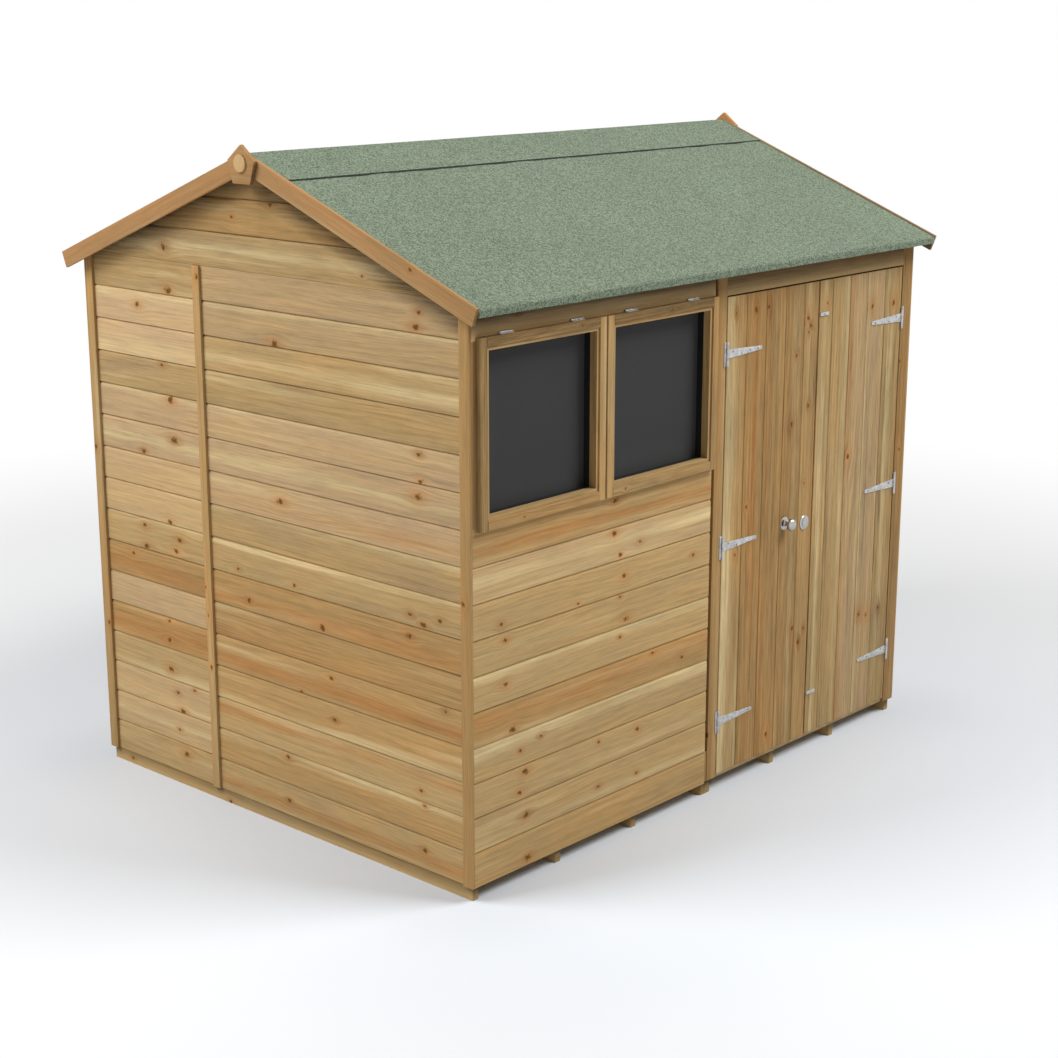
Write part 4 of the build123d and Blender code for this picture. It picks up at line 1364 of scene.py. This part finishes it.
class SHED_OT_roof(bpy.types.Operator):
    """Makes the felt, its capping strip, the deck and the eaves battens"""

    bl_idname = "shed.roof"
    bl_label = "Roof"

    # Thickness, how uneven the face is, how far it may rise, and how far a lower edge wavers
    FELT = 0.003
    FELT_UNEVEN = 0.0022
    CAP = 0.002
    CAP_UNEVEN = 0.0012
    RISE = 0.0003
    WAVER = 0.0012
    # Turn over the eaves
    BEND = 0.010
    BEND_STEPS = 6
    SLOPE_STEPS = 30
    CAP_STEPS = 16
    COLUMNS = 180
    BEAD_COLUMNS = 240

    def execute(self, context):
        for side, name in ((-1, "front"), (1, "back")):
            self.felt(side, f"{name}_felt")
            recoat(f"{name}_roof_deck", "deck_board")
        self.cap()
        planks("eaves_batten_wood", "eaves_battens", "frame_wood", "frame_wood", "shed", 81, ("brown", "tan"))
        return {"FINISHED"}

    def strip(self, name, path, thickness, low_x, high_x, wave, node):
        """Felt along a path of depth and height, with a slightly uneven face and a wavering edge."""
        columns = self.COLUMNS
        outs = []
        for number in range(len(path)):
            before, after = path[max(number - 1, 0)], path[min(number + 1, len(path) - 1)]
            run = Vector((0, after[0] - before[0], after[1] - before[1])).normalized()
            outs.append(Vector((0, -run.z, run.y)))
        if outs[len(outs) // 2].z < 0:
            outs = [-out for out in outs]
        points, faces = [], []
        last = len(path) - 1
        for column in range(columns + 1):
            x = low_x + (high_x - low_x) * column / columns
            for layer in (0, 1):
                for number, (y, z) in enumerate(path):
                    uneven = noise.noise(Vector((x * 2.3, y * 4.0, z * 3.0))) * wave if layer else 0.0
                    inwards = thickness * (1 - layer) - min(uneven, self.RISE)
                    place = Vector((x, y, z)) - outs[number] * inwards
                    if number == last:
                        place.z += self.WAVER * noise.noise(Vector((x * 7.0, 3.0, y)))
                    points.append(place)
        rows = len(path)
        step = 2 * rows
        for column in range(columns):
            here, there = column * step, (column + 1) * step
            for number in range(rows - 1):
                faces.append((here + number, here + number + 1, there + number + 1, there + number))
                upper = here + rows + number, there + rows + number
                faces.append((upper[0], upper[1], upper[1] + 1, upper[0] + 1))
            faces.append((here, there, there + rows, here + rows))
            faces.append((here + last, here + rows + last, there + rows + last, there + last))
        for column in (0, columns):
            here = column * step
            for number in range(rows - 1):
                faces.append((here + number, here + rows + number, here + rows + number + 1, here + number + 1))
        mesh = bpy.data.meshes.new(name)
        mesh.from_pydata(points, [], faces)
        face_outwards(mesh)
        dress(name, mesh, "mineral_felt", "shed", "roof_felt", node)

    def felt(self, side, node):
        """One slope of felt with a rounded turn over the eaves."""
        low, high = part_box(node)
        edge = max(abs(low.y), abs(high.y))
        slope = math.tan(ROOF_PITCH)
        turn = math.pi / 2 - ROOF_PITCH
        bend_y, bend_z = edge - self.BEND, high.z - edge * slope - self.BEND * math.tan(turn / 2)
        outs = [edge * number / self.SLOPE_STEPS for number in range(self.SLOPE_STEPS)]
        path = [(side * out, high.z - out * slope) for out in outs if out < bend_y]
        for number in range(self.BEND_STEPS + 1):
            angle = turn - turn * number / self.BEND_STEPS
            path.append((side * (bend_y + self.BEND * math.cos(angle)), bend_z + self.BEND * math.sin(angle)))
        path = [p for p in path if p[1] >= low.z]
        path.append((side * edge, (path[-1][1] + low.z) / 2))
        path.append((side * edge, low.z + self.WAVER))
        self.strip(f"{node}_sheet", path, self.FELT, low.x, high.x, self.FELT_UNEVEN, node)

    def cap(self):
        """Strip folded over the ridge, with a dark bead of bitumen along its edges."""
        low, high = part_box("ridge_cap")
        reach = high.y
        slope = math.tan(ROOF_PITCH)
        outs = [reach * number / self.CAP_STEPS for number in range(-self.CAP_STEPS, self.CAP_STEPS + 1)]
        path = [(y, high.z - abs(y) * slope) for y in outs]
        self.strip("ridge_cap_strip", path, self.CAP, low.x, high.x, self.CAP_UNEVEN, "ridge_cap")
        points, faces = [], []
        columns = self.BEAD_COLUMNS
        for side in (-1, 1):
            for column in range(columns + 1):
                x = low.x + (high.x - low.x) * column / columns
                waver = noise.noise(Vector((x * 9.0, side * 4.0, 1.0)))
                for inwards, up in ((0.001, 0.0016), (-0.008 + waver * 0.006, 0.0006), (0.001, -0.0022)):
                    y = side * (reach - inwards)
                    points.append((x, y, high.z - abs(y) * slope - self.CAP + up))
        for side in range(2):
            for column in range(columns):
                here = (side * (columns + 1) + column) * 3
                for number in range(3):
                    after = (number + 1) % 3
                    faces.append((here + number, here + after, here + 3 + after, here + 3 + number))
            first = side * (columns + 1) * 3
            faces.append((first, first + 1, first + 2))
            end = first + columns * 3
            faces.append((end, end + 1, end + 2))
        mesh = bpy.data.meshes.new("cap_bitumen_bead")
        mesh.from_pydata(points, [], faces)
        face_outwards(mesh)
        dress("cap_bitumen_bead", mesh, "bitumen", "shed", "roof_felt")


class SHED_OT_bargeboards(bpy.types.Operator):
    """Makes the bargeboards, the finials and their discs"""

    bl_idname = "shed.bargeboards"
    bl_label = "Bargeboards and finials"

    def execute(self, context):
        planks("left_bargeboard_wood", "left_bargeboards", "barge_wood", "barge_wood", "shed", 91, ("honey",),
               knots_a_metre=0.2, marks=(BARGE_KNOT,))
        # The right bargeboards are painted in shade on every side that doesn't face out to +X
        planks("right_bargeboard_wood", "right_bargeboards", "barge_wood", "barge_wood", "shed", 92, ("honey",),
               lit_way=X)
        planks("finial_wood", "finials", "barge_wood", "barge_wood", "shed", 93, ("honey", "amber"),
               arris=0.002, knots_a_metre=0)
        planks("finial_disc_wood", "finial_discs", "disc_wood", "trim_wood", "shed", 94, ("pale",),
               arris=0.001, knots_a_metre=0)
        return {"FINISHED"}


class SHED_OT_base(bpy.types.Operator):
    """Makes the floor bearers and the floor"""

    bl_idname = "shed.base"
    bl_label = "Base"

    def execute(self, context):
        for number, side in enumerate(("left", "right")):
            # The bearers are painted darker towards their tops, as the shadow under the cladding
            planks(f"bearer_wood_{side}", f"bearers_{side}", "frame_wood", "frame_wood", "shed", 101 + number,
                   ("tan",), fade=BEARER_PAINTED_SHADOW)
            recoat(f"floor_{side}", "deck_board")
        return {"FINISHED"}


class SHED_OT_inner_frame(bpy.types.Operator):
    """Makes the studs, plates and rafters inside"""

    bl_idname = "shed.inner_frame"
    bl_label = "Inner frame"

    def execute(self, context):
        for number, node in enumerate(("front_frame", "back_frame", "side_frames")):
            planks(f"{node}_wood", node, "frame_wood", "frame_wood", "shed", 111 + number,
                   ("tan", "pale", "honey"), arris=0.002)
        return {"FINISHED"}


class SHED_PT_builder(bpy.types.Panel):
    """Lists the builders of the shed's pieces"""

    bl_idname = "SHED_PT_builder"
    bl_label = "Garden shed"
    bl_space_type = "VIEW_3D"
    bl_region_type = "UI"
    bl_category = "Shed"

    def draw(self, context):
        for builder in BUILDERS:
            self.layout.operator(builder.bl_idname)
        for group in GROUPS:
            values = getattr(context.scene, group)
            box = self.layout.box()
            for name in values.bl_rna.properties.keys():
                if name not in ("rna_type", "name"):
                    box.prop(values, name)


GROUPS = {
    "shed_boards": BoardSizes, "shed_wood": WoodColours, "shed_fittings": FittingColours,
    "shed_stage": StageLook,
}
BUILDERS = (
    SHED_OT_stage, SHED_OT_wall_boards, SHED_OT_front_boards, SHED_OT_trims, SHED_OT_windows, SHED_OT_doors,
    SHED_OT_hardware, SHED_OT_roof, SHED_OT_bargeboards, SHED_OT_base, SHED_OT_inner_frame,
)


def register():
    for kind in (*GROUPS.values(), *BUILDERS, SHED_PT_builder):
        bpy.utils.register_class(kind)
    for name, kind in GROUPS.items():
        setattr(bpy.types.Scene, name, bpy.props.PointerProperty(type=kind))


def unregister():
    for name in GROUPS:
        delattr(bpy.types.Scene, name)
    for kind in reversed((*GROUPS.values(), *BUILDERS, SHED_PT_builder)):
        bpy.utils.unregister_class(kind)


def main():
    register()
    bpy.ops.shed.stage()
    bpy.ops.shed.wall_boards()
    bpy.ops.shed.front_boards()
    bpy.ops.shed.trims()
    bpy.ops.shed.windows()
    bpy.ops.shed.doors()
    bpy.ops.shed.hardware()
    bpy.ops.shed.roof()
    bpy.ops.shed.bargeboards()
    bpy.ops.shed.base()
    bpy.ops.shed.inner_frame()


if __name__ == "__main__":
    main()
